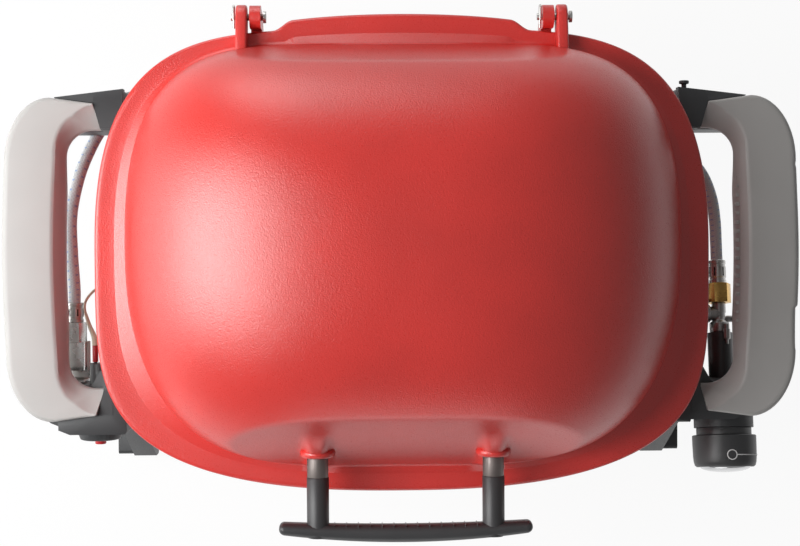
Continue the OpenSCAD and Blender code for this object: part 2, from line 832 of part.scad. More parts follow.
// Arm block under a grip, with a raised part that the grip's end butts against and lies beside
module arm(plan, bed_end) {
    edge_out = arm_out + (bed_end - cover_x)/(grip_bend - cover_x)*(grip_half - arm_out) + face_gap;
    translate([0, 0, arm_low]) linear_extrude(arm_seat - arm_low) polygon(rounded(plan, 3));
    translate([0, 0, arm_low]) linear_extrude(arm_top - arm_low) difference() {
        polygon(rounded(plan, 3));
        for (side = [-1, 1]) polygon([
            [cover_x, 0], [cover_x, side*(arm_out + face_gap)], [bed_end, side*edge_out], [bed_end, side*lid_b],
            [grip_x, side*lid_b], [grip_x, 0]
        ]);
    }
}

module foot_block(span) along_x(leg_x, foot_w) polygon(rounded([
    [span[0], pad_h], [span[1], pad_h], [span[1] - 2, foot_top], [span[0] + 2, foot_top]
], 4));

// Screws that hold a grip, as places on its front and rear arm
grip_screw_y = (arm_in + arm_out)/2;
rear_grip_screw = [rear_out - 18, grip_screw_y];
right_grip_screw = [cover_x + 8, -grip_screw_y];
left_grip_screw = [house_out - 16, -grip_screw_y];
grip_screw_low = arm_low + 6;
grip_screw_high = grip_top - 10;

module grip_screw_holes(front) for (p = [rear_grip_screw, front]) translate([p[0], p[1], 0]) {
    translate([0, 0, arm_low - 1]) cylinder(r = small_head + 1, h = grip_screw_low - arm_low + 1);
    translate([0, 0, arm_low]) cylinder(r = small_r + screw_gap, h = grip_screw_high - arm_low + 1);
}

module frame_side(front_screw, front) difference() {
    union() {
        along_x(leg_x, leg_t) polygon(rounded(front_leg, 5));
        along_x(leg_x, leg_t) polygon(rounded(rear_leg, 5));
        along_x(leg_x, leg_t) polygon(box_outline(-rail_y, rail_y - 2, bar_low, bar_high));
        arm(front_arm_plan(front), house_out - 12);
        arm(rear_arm_plan, rear_out - 10);
        foot_block(front_foot);
        foot_block(rear_foot);
    }
    grip_screw_holes(front_screw);
    for (side = [-1, 1])
        rod_x(small_r + screw_gap, leg_x - 1, leg_out + 1, side*rail_y, rail_h - rail_t/2);
}

// The left frame also has holes for the igniter and for the hose
module left_end_frame() color(charcoal) difference() {
    at_lid() mirror([1, 0, 0]) frame_side(left_grip_screw, house_front);
    hose_line(hose_d/2 + face_gap);
    at_lid() rod_y(igniter_r + screw_gap, -house_front - 1, -house_back + 1, -igniter_x, igniter_z);
}

// The right frame also carries the tilted neck that the knob turns in front of
module right_end_frame() color(charcoal) difference() {
    union() {
        at_lid() frame_side(right_grip_screw, neck_house_front);
        valve_line() translate([0, 0, neck_end - 26]) cylinder(r = neck_r, h = 26);
    }
    valve_line() {
        translate([0, 0, sleeve_end - 40]) cylinder(r = sleeve_r + screw_gap, h = 40);
        translate([0, 0, sleeve_end - 1]) cylinder(r = stem_r + 2, h = neck_end - sleeve_end + 2);
    }
}

module rail(y) difference() {
    along_x(-leg_x, leg_x*2) polygon(rounded(
        box_outline(y - rail_w/2, y + rail_w/2, rail_h - rail_t, rail_h), 2));
    for (side = [-1, 1]) {
        rod_x(small_r + screw_gap, side > 0 ? leg_x - 20 : -leg_x - 1, side > 0 ? leg_x + 1 : -leg_x + 20,
            y, rail_h - rail_t/2);
        translate([side*boss_x, y, rail_h - rail_t - 1]) cylinder(r = small_r + screw_gap, h = rail_t + 2);
        translate([side*runner_screw_x, y, rail_h - rail_t - 1]) cylinder(r = small_r + screw_gap, h = 11);
    }
}

module front_rail() color(charcoal) at_lid() rail(-rail_y);

module rear_rail() color(charcoal) at_lid() rail(rail_y);

module rail_screws() color(steel) at_lid() both_sides() for (side = [-1, 1]) {
    rod_x(small_r, leg_x - 18, leg_out, side*rail_y, rail_h - rail_t/2);
    difference() {
        rod_x(small_head, leg_out, leg_out + head_h, side*rail_y, rail_h - rail_t/2);
        rod_x(small_r, leg_out + head_h/2, leg_out + head_h + 1, side*rail_y, rail_h - rail_t/2, $fn = 6);
    }
}

module cookbox_screws() color(steel) at_lid() both_sides() for (side = [-1, 1])
    translate([boss_x, side*rail_y, 0]) screw_up(rail_h - rail_t, rail_h + 14, small_r, small_head);

module foot_pads() color(near_black) at_lid() both_sides() for (span = [front_foot, rear_foot])
    translate([pad_x, (span[0] + span[1])/2, 0]) cylinder(r = pad_d/2, h = pad_h);

// Side grips

grip_straight = 5;

function grip_side(x, y_end, rx, ry, bow) =
    let (flat = y_end - ry)
    concat(
        bend([x - bow - rx, flat], rx, ry, 90, 0, 6),
        [for (i = [1:grip_straight]) let (t = i/(grip_straight + 1)) [x - bow + bow*sin(180*t), flat*(1 - 2*t)]],
        bend([x - bow - rx, -flat], rx, ry, 0, -90, 6)
    );

function grip_low(i, last) = arm_seat + grip_seat_gap
    - (grip_h - (grip_top - arm_seat))*smooth((min(i, last - i) - 5)/3);

module grip() {
    outer_side = grip_side(grip_x, grip_half, grip_r, grip_ry, grip_bow);
    inner_side = grip_side(grip_in, arm_in, grip_in_r, grip_in_r, grip_bow);
    outer = concat([[cover_x, arm_out]], outer_side, [[cover_x, -arm_out]]);
    inner = concat([[cover_x, arm_in]], inner_side, [[cover_x, -arm_in]]);
    last = len(outer) - 1;
    loft([for (i = [0:last]) soft_section(outer[i], inner[i], grip_low(i, last), grip_top, 4.5, 20)]);
}

module grip_drilled(front) difference() {
    grip();
    for (p = [rear_grip_screw, front]) translate([p[0], p[1], arm_seat - 1])
        cylinder(r = small_r + screw_gap, h = grip_screw_high - arm_seat + 2);
}

module right_grip() color(warm_grey) at_lid() grip_drilled(right_grip_screw);

module left_grip() color(warm_grey) at_lid() mirror([1, 0, 0]) grip_drilled(left_grip_screw);

module grip_screw(p) translate([p[0], p[1], 0]) screw_up(grip_screw_low, grip_screw_high, small_r, small_head);

module grip_screws() color(steel) at_lid() {
    both_sides() grip_screw(rear_grip_screw);
    grip_screw(right_grip_screw);
    mirror([1, 0, 0]) grip_screw(left_grip_screw);
}

// Drip tray and its runners

module runner() along_y(-rail_y - rail_w/2, rail_y*2 + rail_w) polygon([
    [tray_w/2 + lip_overlap, shelf_z], [web_x + runner_t, shelf_z], [web_x + runner_t, runner_z - runner_t],
    [web_x + runner_flange, runner_z - runner_t], [web_x + runner_flange, runner_z], [web_x, runner_z],
    [web_x, shelf_z + runner_t], [tray_w/2 + lip_overlap, shelf_z + runner_t]
]);

module drip_tray_runners() color(steel) at_lid() both_sides() difference() {
    runner();
    for (side = [-1, 1]) translate([runner_screw_x, side*rail_y, runner_z - runner_t - 1])
        cylinder(r = small_r + screw_gap, h = runner_t + 2);
}

module runner_screws() color(steel) at_lid() both_sides() for (side = [-1, 1])
    translate([runner_screw_x, side*rail_y, 0]) screw_up(runner_z - runner_t, runner_z + 8, small_r, small_head);

module tray_plan(grow, r) polygon(rounded(
    box_outline(-tray_w/2 - grow, tray_w/2 + grow, -tray_l/2 - grow, tray_l/2 + grow), r));

module drip_tray() color([0.75, 0.76, 0.77]) at_lid() difference() {
    lip_z = shelf_z + runner_t + face_gap;
    low = lip_z + lip_t - tray_h;
    union() {
        translate([0, 0, low]) linear_extrude(tray_h) tray_plan(0, 18);
        translate([0, 0, lip_z]) linear_extrude(lip_t) tray_plan(tray_lip, 24);
    }
    translate([0, 0, low + lip_t]) linear_extrude(tray_h) tray_plan(-lip_t, 16);
}

// Gas valve, stem and knob, in the frame of the valve line

module gas_valve() color(steel) valve_line() difference() {
    union() {
        translate([0, 0, valve_back]) cylinder(r = valve_r, h = valve_front - valve_back);
        translate([0, 0, nut_end + 3]) cylinder(r = thread_r, h = valve_back - nut_end - 2);
        rod_x(valve_r - 1, burner_end + shutter_t - valve_x, 0, 0, 0);
        rod_x(burner_bore - 3, burner_end - 9 - valve_x, 0, 0, 0);
        rod_x(3.5, 0, valve_r + 6, 0, 8);
        rod_x(5, valve_r + 2, valve_r + 5, 0, 8, $fn = 6);
    }
    translate([0, 0, stem_in - push_travel - 1]) cylinder(r = stem_r + run_gap, h = valve_front);
}

module stem_sleeve() color(near_black) valve_line() ring_z(sleeve_r, sleeve_bore, valve_front, sleeve_end);

module stem_washer() color(steel) valve_line() ring_z(sleeve_bore - 0.5, stem_r + run_gap, 30, 33);

module valve_stem() color(steel) valve_line() translate([0, 0, stem_in])
    cylinder(r = stem_r, h = knob_front - 8 - stem_in);

module knob_bezel() color(near_black) valve_line() ring_z(neck_r - 2, stem_r + 2, neck_end, neck_end + bezel_t);

module control_knob() color(near_black) valve_line() difference() {
    r = knob_d/2;
    rotate_extrude() polygon([
        [0, knob_back + knob_recess], [r - 3, knob_back + knob_recess], [r - 3, knob_back], [r - 1, knob_back],
        [r, knob_back + 1],
        [r, knob_front - 9], [r - 1.5, knob_front - 1], [r - 3, knob_front], [0, knob_front]
    ]);
    translate([0, 0, knob_back]) cylinder(r = stem_r + screw_gap, h = knob_len - 7.5);
    translate([0, 0, knob_front - 2]) cylinder(r = r - 6, h = 3);
}

module knob_cap() color([0.85, 0.85, 0.86]) valve_line() {
    r = knob_d/2 - 6 - screw_gap;
    rotate_extrude() polygon(concat([[0, knob_front - 2], [r, knob_front - 2], [r, knob_front]],
        [for (i = [1:6]) let (t = 90*i/6) [r*cos(t), knob_front + cap_rise*sin(t)]]));
}

// Hose, its ends and its clips

module hex_nut(flats, bore, z0, z1) translate([0, 0, z0]) difference() {
    cylinder(r = flats/2/cos(30), h = z1 - z0, $fn = 6);
    translate([0, 0, -1]) cylinder(r = bore, h = z1 - z0 + 2);
}

module valve_hose_nut() color(brass) valve_line() hex_nut(nut_flats, thread_r + screw_gap, nut_end, valve_back);

// Frame of the inlet line: +Z runs forward to the fitting
module inlet_line() at_lid() translate([-inlet_x, 0, inlet_z]) rotate([90, 0, 0]) children();

module inlet_hose_nut() color(steel) inlet_line()
    hex_nut(nut_flats - 2, thread_r - 0.5 + screw_gap, -inlet_nut_back, -fit_back);

module ferrule(z0, z1) {
    r = hose_d/2 + ferrule_wall;
    translate([0, 0, z0]) cylinder(r = r, h = z1 - z0);
    for (t = [0.25, 0.75]) translate([0, 0, z0 + (z1 - z0)*t - 1]) cylinder(r = r + crimp_out, h = 2);
}

module hose_ferrules() color(steel) {
    valve_line() ferrule(ferrule_end, nut_end);
    inlet_line() ferrule(-inlet_ferrule_back, -inlet_nut_back);
}

module hose_line(r) at_lid() loft(tube_rings(spline(hose_route, hose_steps), r, 10));

module gas_hose() color([0.55, 0.57, 0.58]) hose_line(hose_d/2);

module hose_clips() color(near_black) at_lid() for (x = clip_x) difference() {
    union() {
        rod_x(hose_d/2 + 2.5, x - 6, x + 6, clip_y, clip_z);
        translate([x - 6, rail_y + rail_w/2, clip_z - 8]) cube([12, clip_y - rail_y - rail_w/2 - 3, 14]);
    }
    rod_x(hose_d/2 + screw_gap, x - 7, x + 7, clip_y, clip_z);
}

module inlet_fitting() color(steel) at_lid() {
    translate([-inlet_x - fit_half, fit_front, inlet_z - fit_half])
        cube([fit_half*2, fit_back - fit_front, fit_half*2]);
    rod_y(thread_r - 0.5, fit_back, inlet_nut_back - 2, -inlet_x, inlet_z);
    rod_x(spigot_d/2, -inlet_x - fit_half - spigot_len, -inlet_x, spigot_y, inlet_z);
}

module inlet_bracket() color(steel) at_lid() {
    low = inlet_z - fit_half - 3;
    translate([-inlet_x - 14, -house_step, low]) cube([26, 3, 30]);
    translate([-inlet_x - 14, -house_step, low]) cube([26, house_step + fit_back, 3]);
}

module tool_hook() color(near_black) at_lid() {
    r = 2.2;
    in_x = 7;
    face_y = rear_arm_out - rear_taper*(in_x - r)/(rear_out - leg_x);
    rod_y(r, face_y, face_y + 6, leg_x + in_x, arm_top - 8);
    rod_y(r*2, face_y + 4, face_y + 7, leg_x + in_x, arm_top - 8);
}

// Igniter

module igniter_body() color(near_black) at_lid() {
    difference() {
        rod_y(igniter_r, -house_front, igniter_back, -igniter_x, igniter_z);
        rod_y(button_r + run_gap, -house_front - 1, -house_front + button_hole, -igniter_x, igniter_z);
    }
    for (x = [-igniter_x - terminal_x, -igniter_x + terminal_x])
        rod_y(terminal_r, igniter_back - 1, igniter_back + terminal_len, x, igniter_z);
}

module igniter_bezel() color(charcoal) at_lid() difference() {
    translate([-igniter_x, -house_front, igniter_z]) rotate([90, 0, 0])
        cylinder(r1 = bezel_r, r2 = bezel_r - 3, h = bezel_len);
    rod_y(button_r + run_gap, -house_front - bezel_len - 1, -house_front + 1, -igniter_x, igniter_z);
}

module igniter_button() color([0.72, 0.14, 0.13]) at_lid()
    rod_y(button_r, -house_front - bezel_len - button_travel - 1, -house_front + button_in, -igniter_x, igniter_z);

module igniter_wires() color(cream) at_lid() for (route = [live_wire, ground_wire])
    loft(tube_rings(spline(route, wire_steps), wire_r, 8));

module terminal_sleeves() color([0.75, 0.16, 0.15]) at_lid() for (side = [-1, 1]) difference() {
    x = -igniter_x + side*terminal_x;
    rod_y(terminal_sleeve_r, igniter_back + 1, igniter_back + 1 + terminal_sleeve_len, x, igniter_z);
    rod_y(terminal_r + screw_gap, igniter_back, igniter_back + terminal_len + face_gap, x, igniter_z);
}

lid();
lid_handle();
handle_sleeves();
handle_screws();
cookbox();
hinge_pins();
hairpin_clips();
cooking_grate_left();
cooking_grate_right();
burner_tube();
burner_supports();
air_shutter();
igniter_electrode();
ground_screw();
left_end_frame();
right_end_frame();
front_rail();
rear_rail();
left_grip();
right_grip();
grip_screws();
rail_screws();
cookbox_screws();
foot_pads();
drip_tray_runners();
runner_screws();
drip_tray();
gas_valve();
stem_sleeve();
stem_washer();
valve_stem();
knob_bezel();
control_knob();
knob_cap();
valve_hose_nut();
inlet_hose_nut();
hose_ferrules();
gas_hose();
hose_clips();
inlet_fitting();
inlet_bracket();
tool_hook();
igniter_body();
igniter_bezel();
igniter_button();
igniter_wires();
terminal_sleeves();
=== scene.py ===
"""Finishes and fine shapes of a portable gas grill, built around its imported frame."""

import json
import math

import bmesh
import bpy
from bpy.props import FloatProperty, FloatVectorProperty, IntProperty, PointerProperty
from mathutils import Matrix, Vector


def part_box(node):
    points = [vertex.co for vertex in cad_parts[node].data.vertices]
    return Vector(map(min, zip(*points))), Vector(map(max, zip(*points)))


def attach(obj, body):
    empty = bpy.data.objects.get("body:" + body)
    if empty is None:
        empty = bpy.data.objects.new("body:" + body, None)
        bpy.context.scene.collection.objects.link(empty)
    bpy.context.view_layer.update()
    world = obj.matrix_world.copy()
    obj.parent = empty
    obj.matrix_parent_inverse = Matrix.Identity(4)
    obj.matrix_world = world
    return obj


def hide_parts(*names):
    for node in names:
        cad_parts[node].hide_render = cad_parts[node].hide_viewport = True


bl_info = {
    "name": "Portable gas grill",
    "version": (1, 0, 0),
    "blender": (4, 5, 0),
    "location": "View3D > Sidebar > Grill",
    "description": "Builds the finished pieces of a portable gas grill around its frame",
    "category": "Object",
}

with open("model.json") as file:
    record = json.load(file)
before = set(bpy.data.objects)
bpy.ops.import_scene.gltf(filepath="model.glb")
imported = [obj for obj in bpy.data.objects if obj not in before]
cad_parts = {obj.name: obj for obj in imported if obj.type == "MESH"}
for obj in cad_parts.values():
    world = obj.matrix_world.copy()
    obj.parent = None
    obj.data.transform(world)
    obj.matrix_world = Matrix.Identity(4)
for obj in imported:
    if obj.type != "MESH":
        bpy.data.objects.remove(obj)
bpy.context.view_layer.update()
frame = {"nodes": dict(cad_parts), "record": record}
NODES = frame["nodes"]
BODY_OF = {node: body for body, nodes in frame["record"]["behaviour"]["bodies"].items() for node in nodes}
SLOT_OF = {part["node"]: part["material_slot"] for part in frame["record"]["subparts"]}

MM = 0.001
LID_Y = 10.0

# Camera of the photograph, in an image of 800 by 546
IMAGE_WIDTH = 800
FOCAL_PIXELS = 1485.2
SENSOR_MM = 36.0
CAMERA_PLACE = (-0.0326, 0.0320, 1.5172)
CAMERA_TILT = (math.radians(1.54), math.radians(1.32), math.radians(0.38))

# Lid casting, in mm from the middle of the lid
RIM_FRONT = {"a": 267.5, "b": 203.0, "ex": 2.5, "ey": 4.1}
RIM_REAR = {"a": 267.5, "b": 199.0, "ex": 4.6, "ey": 2.6}
DOME_FRONT = {"a": 239.0, "b": 186.4, "ex": 4.0, "ey": 2.2}
DOME_REAR = {"a": 239.0, "b": 177.6, "ex": 5.0, "ey": 2.6}
SEAM_Z = 220.0
DOME_Z = 232.0
DOME_Y = 7.4
DOME_H = 133.3
DOME_SWELL = 2/2.7
LID_WALL = 4.0
CREASE = 3.5
FRONT_FOOT, FRONT_LEAN = 179.0, math.radians(63)
REAR_FOOT, REAR_LEAN = 185.0, math.radians(73)
BULGE_HALF, BULGE_RAMP, BULGE_OUT, BULGE_BOW = 95.0, 17.0, 13.0, 4.5
FAIRING_HALF, FAIRING_TOP, FAIRING_FOOT, FAIRING_OUT = 10.5, 78.0, 26.0, 8.0

# Handle
HANDLE_X, HANDLE_Z = 74.25, 267.0
BAR_HALF, BAR_FRONT, BAR_BOW = 107.0, 239.0, 7.4
BAR_MID, BAR_END, BAR_TALL, BAR_ROUND = 15.2, 10.2, 10.0, 4.5

# Hinges
HINGE_X, HINGE_Y, HINGE_Z = 132.0, 208.5, 230.0
LUG_GAP, LUG_W, LUG_R = 2.2, 9.5, 10.5
LUG_TAIL = [(176.0, 229.0), (175.0, 247.0), (183.0, 226.0)]

# Side grips
GRIP_OUT, GRIP_WIDE, GRIP_HALF = 351.0, 51.5, 142.0
GRIP_END_X, GRIP_END_OUT, GRIP_END_IN = 264.0, 136.8, 114.0
GRIP_END_SKEW = 6.0
GRIP_TOP, GRIP_SEAT, GRIP_LOW = 216.0, 190.05, 178.0
GRIP_GAP = 0.3
ARM_TOP = 208.0

# Valve line: the stem runs forward and up from the valve
VALVE = Vector((297.0, -45.0, 138.0))
STEM_TILT = math.radians(10)
KNOB_R = 29.0

# Middle lines of the hose and the wires, in mm from the middle of the lid
HOSE_R = 5.5
HOSE_ROUTE = [
    (-300, -39.85, 148), (-300, -25, 148), (-302, 5, 147), (-303, 40, 143), (-297, 75, 136), (-287, 102, 131),
    (-276, 121, 128), (-262, 132, 127), (-244, 140, 127.5), (-225, 150, 127.5), (-208, 158, 121),
    (-190, 159, 115), (-170, 158, 112), (-135, 158, 112), (-70, 158, 112), (0, 158, 112), (70, 158, 112),
    (135, 158, 112), (170, 158, 112), (190, 158.5, 116), (208, 153, 124.5), (222, 132, 128), (236, 111, 129),
    (253, 99, 130), (270, 90, 129.5), (284, 75, 126.5), (293, 54, 124), (296.5, 32, 124), (297, 12, 126.2),
    (297, -5.61, 129.29),
]
WIRE_R = 1.2
LIVE_WIRE = [
    (-278, -77.9, 168), (-279, -70, 168), (-283, -60, 168), (-287, -48, 166.5), (-287, -38, 163), (-279, -28, 160),
    (-268, -24, 158), (-258.1, -24, 158),
]
GROUND_WIRE = [
    (-270, -77.9, 168), (-270, -72, 168), (-271, -64, 167), (-273, -55, 164), (-271, -48, 160), (-266, -44, 158),
    (-258.1, -44, 158),
]


# Rounding of edges, in metres
SCREW_ROUND, SHEET_ROUND, BODY_ROUND, RAIL_ROUND, CAST_ROUND = 0.0003, 0.0004, 0.0006, 0.0008, 0.0012


# Sizes and colours that can be changed in the sidebar

class GrillSizes(bpy.types.PropertyGroup):
    """Sizes of the fine shapes"""

    frame_round: FloatProperty(
        name="Frame rounding", description="Rounding of the end frames' edges", default=0.0022, unit="LENGTH")
    metal_round: FloatProperty(
        name="Metal rounding", description="Rounding of the edges of small metal pieces", default=0.0005,
        unit="LENGTH")
    lid_segments: IntProperty(
        name="Lid segments", description="Faces around the lid casting", default=520, min=64)
    rib_count: IntProperty(
        name="Handle ribs", description="Fine ribs behind the handle bar", default=13, min=2)
    port_count: IntProperty(
        name="Burner ports", description="Gas ports along each long side of the burner", default=26, min=2)
    braid_pitch: FloatProperty(
        name="Braid pitch", description="Length of one braid crossing along the hose", default=0.004, unit="LENGTH")
    enamel_grain: FloatProperty(
        name="Enamel grain", description="Grains of the lid's textured enamel per metre", default=1000.0)


class GrillColours(bpy.types.PropertyGroup):
    """Colours of the finishes"""

    enamel: FloatVectorProperty(
        name="Enamel", description="Lid and cookbox", subtype="COLOR", default=(0.66, 0.034, 0.027))
    grip: FloatVectorProperty(
        name="Grips", description="Side grips", subtype="COLOR", default=(0.475, 0.462, 0.447))
    charcoal: FloatVectorProperty(
        name="Frame", description="End frames and rails", subtype="COLOR", default=(0.036, 0.037, 0.039))
    black: FloatVectorProperty(
        name="Black plastic", description="Handle, knob and small mouldings", subtype="COLOR",
        default=(0.045, 0.045, 0.047))
    braid: FloatVectorProperty(
        name="Hose braid", description="Grey braid of the hose", subtype="COLOR", default=(0.80, 0.82, 0.84))
    fleck: FloatVectorProperty(
        name="Hose fleck", description="Blue tracer in the braid", subtype="COLOR", default=(0.20, 0.38, 0.75))
    wire: FloatVectorProperty(
        name="Wire", description="Silicone of the igniter wires", subtype="COLOR", default=(0.72, 0.62, 0.47))
    signal: FloatVectorProperty(
        name="Signal red", description="Igniter button and terminal sleeves", subtype="COLOR",
        default=(0.52, 0.02, 0.025))


# Finishes

class Finish:
    """A material with short calls for the textures that its surface needs."""

    def __init__(self, name, colour, roughness, metallic=0.0, coords="Object"):
        self.material = bpy.data.materials.new(name)
        self.material.use_nodes = True
        self.nodes = self.material.node_tree.nodes
        self.links = self.material.node_tree.links
        self.shader = self.nodes["Principled BSDF"]
        self.set("Base Color", (*colour, 1.0))
        self.set("Roughness", roughness)
        self.set("Metallic", metallic)
        self.colour = colour
        self.place = self.nodes.new("ShaderNodeTexCoord").outputs[coords]

    def set(self, socket, value):
        self.shader.inputs[socket].default_value = value

    def add(self, kind, **inputs):
        node = self.nodes.new(kind)
        for name, value in inputs.items():
            socket = node.inputs[name.replace("_", " ")]
            if isinstance(value, bpy.types.NodeSocket):
                self.links.new(value, socket)
            else:
                socket.default_value = value
        return node

    def mapped(self, stretch):
        return self.add("ShaderNodeMapping", Vector=self.place, Scale=stretch).outputs["Vector"]

    def noise(self, scale, detail=2.0, stretch=(1, 1, 1)):
        node = self.add("ShaderNodeTexNoise", Vector=self.mapped(stretch), Scale=scale, Detail=detail)
        return node.outputs["Fac"]

    def cells(self, scale):
        node = self.add("ShaderNodeTexVoronoi", Vector=self.place, Scale=scale)
        node.feature = "SMOOTH_F1"
        return node.outputs["Distance"]

    def math(self, operation, a, b=0.0):
        node = self.nodes.new("ShaderNodeMath")
        node.operation = operation
        for socket, value in zip(node.inputs, (a, b)):
            if isinstance(value, bpy.types.NodeSocket):
                self.links.new(value, socket)
            else:
                socket.default_value = value
        return node.outputs["Value"]

    def span(self, value, low, high, to_low, to_high):
        node = self.add("ShaderNodeMapRange", Value=value)
        for name, number in zip(("From Min", "From Max", "To Min", "To Max"), (low, high, to_low, to_high)):
            node.inputs[name].default_value = number
        return node.outputs["Result"]

    def mix_colour(self, factor, low, high):
        node = self.nodes.new("ShaderNodeMix")
        node.data_type = "RGBA"
        self.links.new(factor, node.inputs["Factor"])
        colour_a, colour_b = node.inputs[6], node.inputs[7]
        for socket, value in ((colour_a, low), (colour_b, high)):
            if isinstance(value, bpy.types.NodeSocket):
                self.links.new(value, socket)
            else:
                socket.default_value = (*value, 1.0)
        return node.outputs[2]

    def mottle(self, scale, darker=0.9, lighter=1.08, low=0.3, high=0.7):
        """Base colour that drifts a little over the surface."""
        shades = [tuple(min(1.0, channel*share) for channel in self.colour) for share in (darker, lighter)]
        factor = self.span(self.noise(scale), low, high, 0.0, 1.0)
        self.links.new(self.mix_colour(factor, *shades), self.shader.inputs["Base Color"])

    def rough(self, value, low, high):
        self.links.new(self.span(value, 0.3, 0.7, low, high), self.shader.inputs["Roughness"])

    def bump(self, height, depth, strength=1.0):
        """Adds a relief of that depth, in metres, on top of any relief so far."""
        before = self.shader.inputs["Normal"].links
        node = self.add("ShaderNodeBump", Height=height, Distance=depth, Strength=strength)
        if before:
            self.links.new(before[0].from_socket, node.inputs["Normal"])
        self.links.new(node.outputs["Normal"], self.shader.inputs["Normal"])


def enamel(colours, sizes):
    made = Finish("red_textured_enamel", colours.enamel, 0.36)
    made.mottle(14.0, 0.94, 1.05)
    grain = made.noise(sizes.enamel_grain, 3.0)
    made.rough(grain, 0.26, 0.38)
    made.bump(made.cells(sizes.enamel_grain*0.7), 0.00020, 0.5)
    made.bump(grain, 0.00029, 0.75)
    made.set("Specular IOR Level", 0.85)
    return made.material


def moulded(name, colour, roughness, grain=1500.0, depth=0.00006, drift=0.08):
    """Moulded plastic with a fine spark-eroded grain."""
    made = Finish(name, colour, roughness)
    made.mottle(24.0, 1 - drift, 1 + drift)
    texture = made.noise(grain, 2.0)
    made.rough(texture, roughness - 0.07, roughness + 0.07)
    made.bump(texture, depth, 0.5)
    return made.material


def brushed(name, colour, roughness, stretch=(40, 40, 900)):
    """Metal with fine drawn or turned lines and faint stains."""
    made = Finish(name, colour, roughness, 1.0)
    lines = made.noise(1.0, 4.0, stretch)
    made.mottle(60.0, 0.82, 1.1)
    made.rough(lines, roughness - 0.08, roughness + 0.12)
    made.bump(lines, 0.00004, 0.4)
    return made.material


def cast_iron():
    made = Finish("black_enamelled_iron", (0.022, 0.022, 0.023), 0.42)
    made.mottle(30.0, 0.8, 1.3)
    pits = made.noise(420.0, 4.0)
    made.rough(pits, 0.3, 0.55)
    made.bump(pits, 0.0003, 0.6)
    return made.material


def braided(colours, turns, rows):
    """Woven sleeve on a hose: two sets of strands that cross, with painted shade in the gaps between them and a broken
    blue tracer.
    """
    made = Finish("hose_braid", colours.braid, 0.5, coords="UV")
    split = made.add("ShaderNodeSeparateXYZ", Vector=made.place)
    along = made.math("MULTIPLY", split.outputs["X"], float(rows))
    round_it = made.math("MULTIPLY", split.outputs["Y"], float(turns))
    over = made.math("SINE", made.math("MULTIPLY", made.math("ADD", along, round_it), math.tau))
    under = made.math("SINE", made.math("MULTIPLY", made.math("SUBTRACT", along, round_it), math.tau))
    weave = made.math("MAXIMUM", over, under)
    # Painted shade: the colour darkens in the gaps between the strands
    shade = made.span(weave, -0.6, 0.9, 0.0, 1.0)
    dark = tuple(channel*0.84 for channel in colours.braid)
    strand = made.mix_colour(shade, dark, tuple(colours.braid))
    lane = made.math("SINE", made.math("MULTIPLY", split.outputs["Y"], math.tau*2))
    dashes = made.math("SINE", made.math("MULTIPLY", along, math.tau/3))
    tracer = made.span(made.math("MULTIPLY", lane, dashes), 0.72, 0.85, 0.0, 0.65)
    made.links.new(made.mix_colour(tracer, strand, tuple(colours.fleck)), made.shader.inputs["Base Color"])
    made.bump(shade, 0.0003, 0.6)
    return made.material


FINISHES = {}


def finish_for(slot):
    return FINISHES[slot]


def make_finishes(context):
    colours, sizes = context.scene.grill_colours, context.scene.grill_sizes
    FINISHES.update({
        "red_enamel": enamel(colours, sizes),
        "black_nylon": moulded("black_nylon", colours.black, 0.42),
        "charcoal_nylon": moulded("charcoal_nylon", colours.charcoal, 0.48, 1100.0, 0.00009),
        "grip_grey": moulded("grip_grey", colours.grip, 0.5, 1300.0, 0.00007, 0.02),
        "steel": brushed("plated_steel", (0.56, 0.55, 0.53), 0.3),
        "stainless": brushed("stainless_tube", (0.5, 0.48, 0.45), 0.32, (30, 700, 700)),
        "bright_plate": brushed("bright_nickel_plate", (0.80, 0.79, 0.77), 0.2),
        "zinc": brushed("cast_zinc", (0.40, 0.39, 0.385), 0.34, (500, 500, 40)),
        "brass": brushed("machined_brass", (0.70, 0.44, 0.13), 0.28),
        "chrome": brushed("chrome_plate", (0.62, 0.62, 0.63), 0.12, (60, 60, 60)),
        "cast_iron": cast_iron(),
        "rubber": moulded("foot_rubber", (0.022, 0.022, 0.022), 0.7),
        "aluminium": brushed("drawn_aluminium", (0.66, 0.67, 0.68), 0.36, (600, 30, 600)),
        "hose_braid": braided(colours, 9, 330),
        "wire_cream": moulded("wire_silicone", colours.wire, 0.45),
        "ceramic": moulded("glazed_ceramic", (0.75, 0.70, 0.62), 0.25),
        "red_plastic": moulded("signal_red_plastic", colours.signal, 0.35),
        "mark_white": moulded("mark_white", (0.82, 0.82, 0.81), 0.5),
        # Near-black finish that paints the shade inside holes and slots where no hole is cut
        "painted_hole_shade": moulded("painted_hole_shade", (0.02, 0.018, 0.016), 0.6),
        "sleeve_metal": brushed("tarnished_sleeve", (0.20, 0.175, 0.165), 0.55, (700, 40, 700)),
    })


# Pieces

def shade_by_angle(bm, degrees):
    limit = math.radians(degrees)
    for face in bm.faces:
        face.smooth = True
    for edge in bm.edges:
        edge.smooth = not (len(edge.link_faces) == 2 and edge.calc_face_angle(0.0) > limit)


def new_piece(name, bm, body, slot, finish=None, replaces=(), smooth=35):
    """Writes a bmesh to an object that rides on a body."""
    shade_by_angle(bm, smooth)
    mesh = bpy.data.meshes.new(name)
    bm.to_mesh(mesh)
    bm.free()
    piece = bpy.data.objects.new(name, mesh)
    bpy.context.scene.collection.objects.link(piece)
    mesh.materials.append(finish or finish_for(slot))
    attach(piece, body)
    if replaces:
        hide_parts(*replaces)
    return piece


def sharp_edges(bm, degrees):
    limit = math.radians(degrees)
    return [e for e in bm.edges if len(e.link_faces) == 2 and e.calc_face_angle(0.0) > limit]


def round_edges(bm, edges, width, segments):
    """Rounds edges by a width in metres."""
    bmesh.ops.bevel(
        bm, geom=edges, offset=width, offset_type="OFFSET", affect="EDGES", segments=segments, profile=0.5,
        material=-1, clamp_overlap=True)


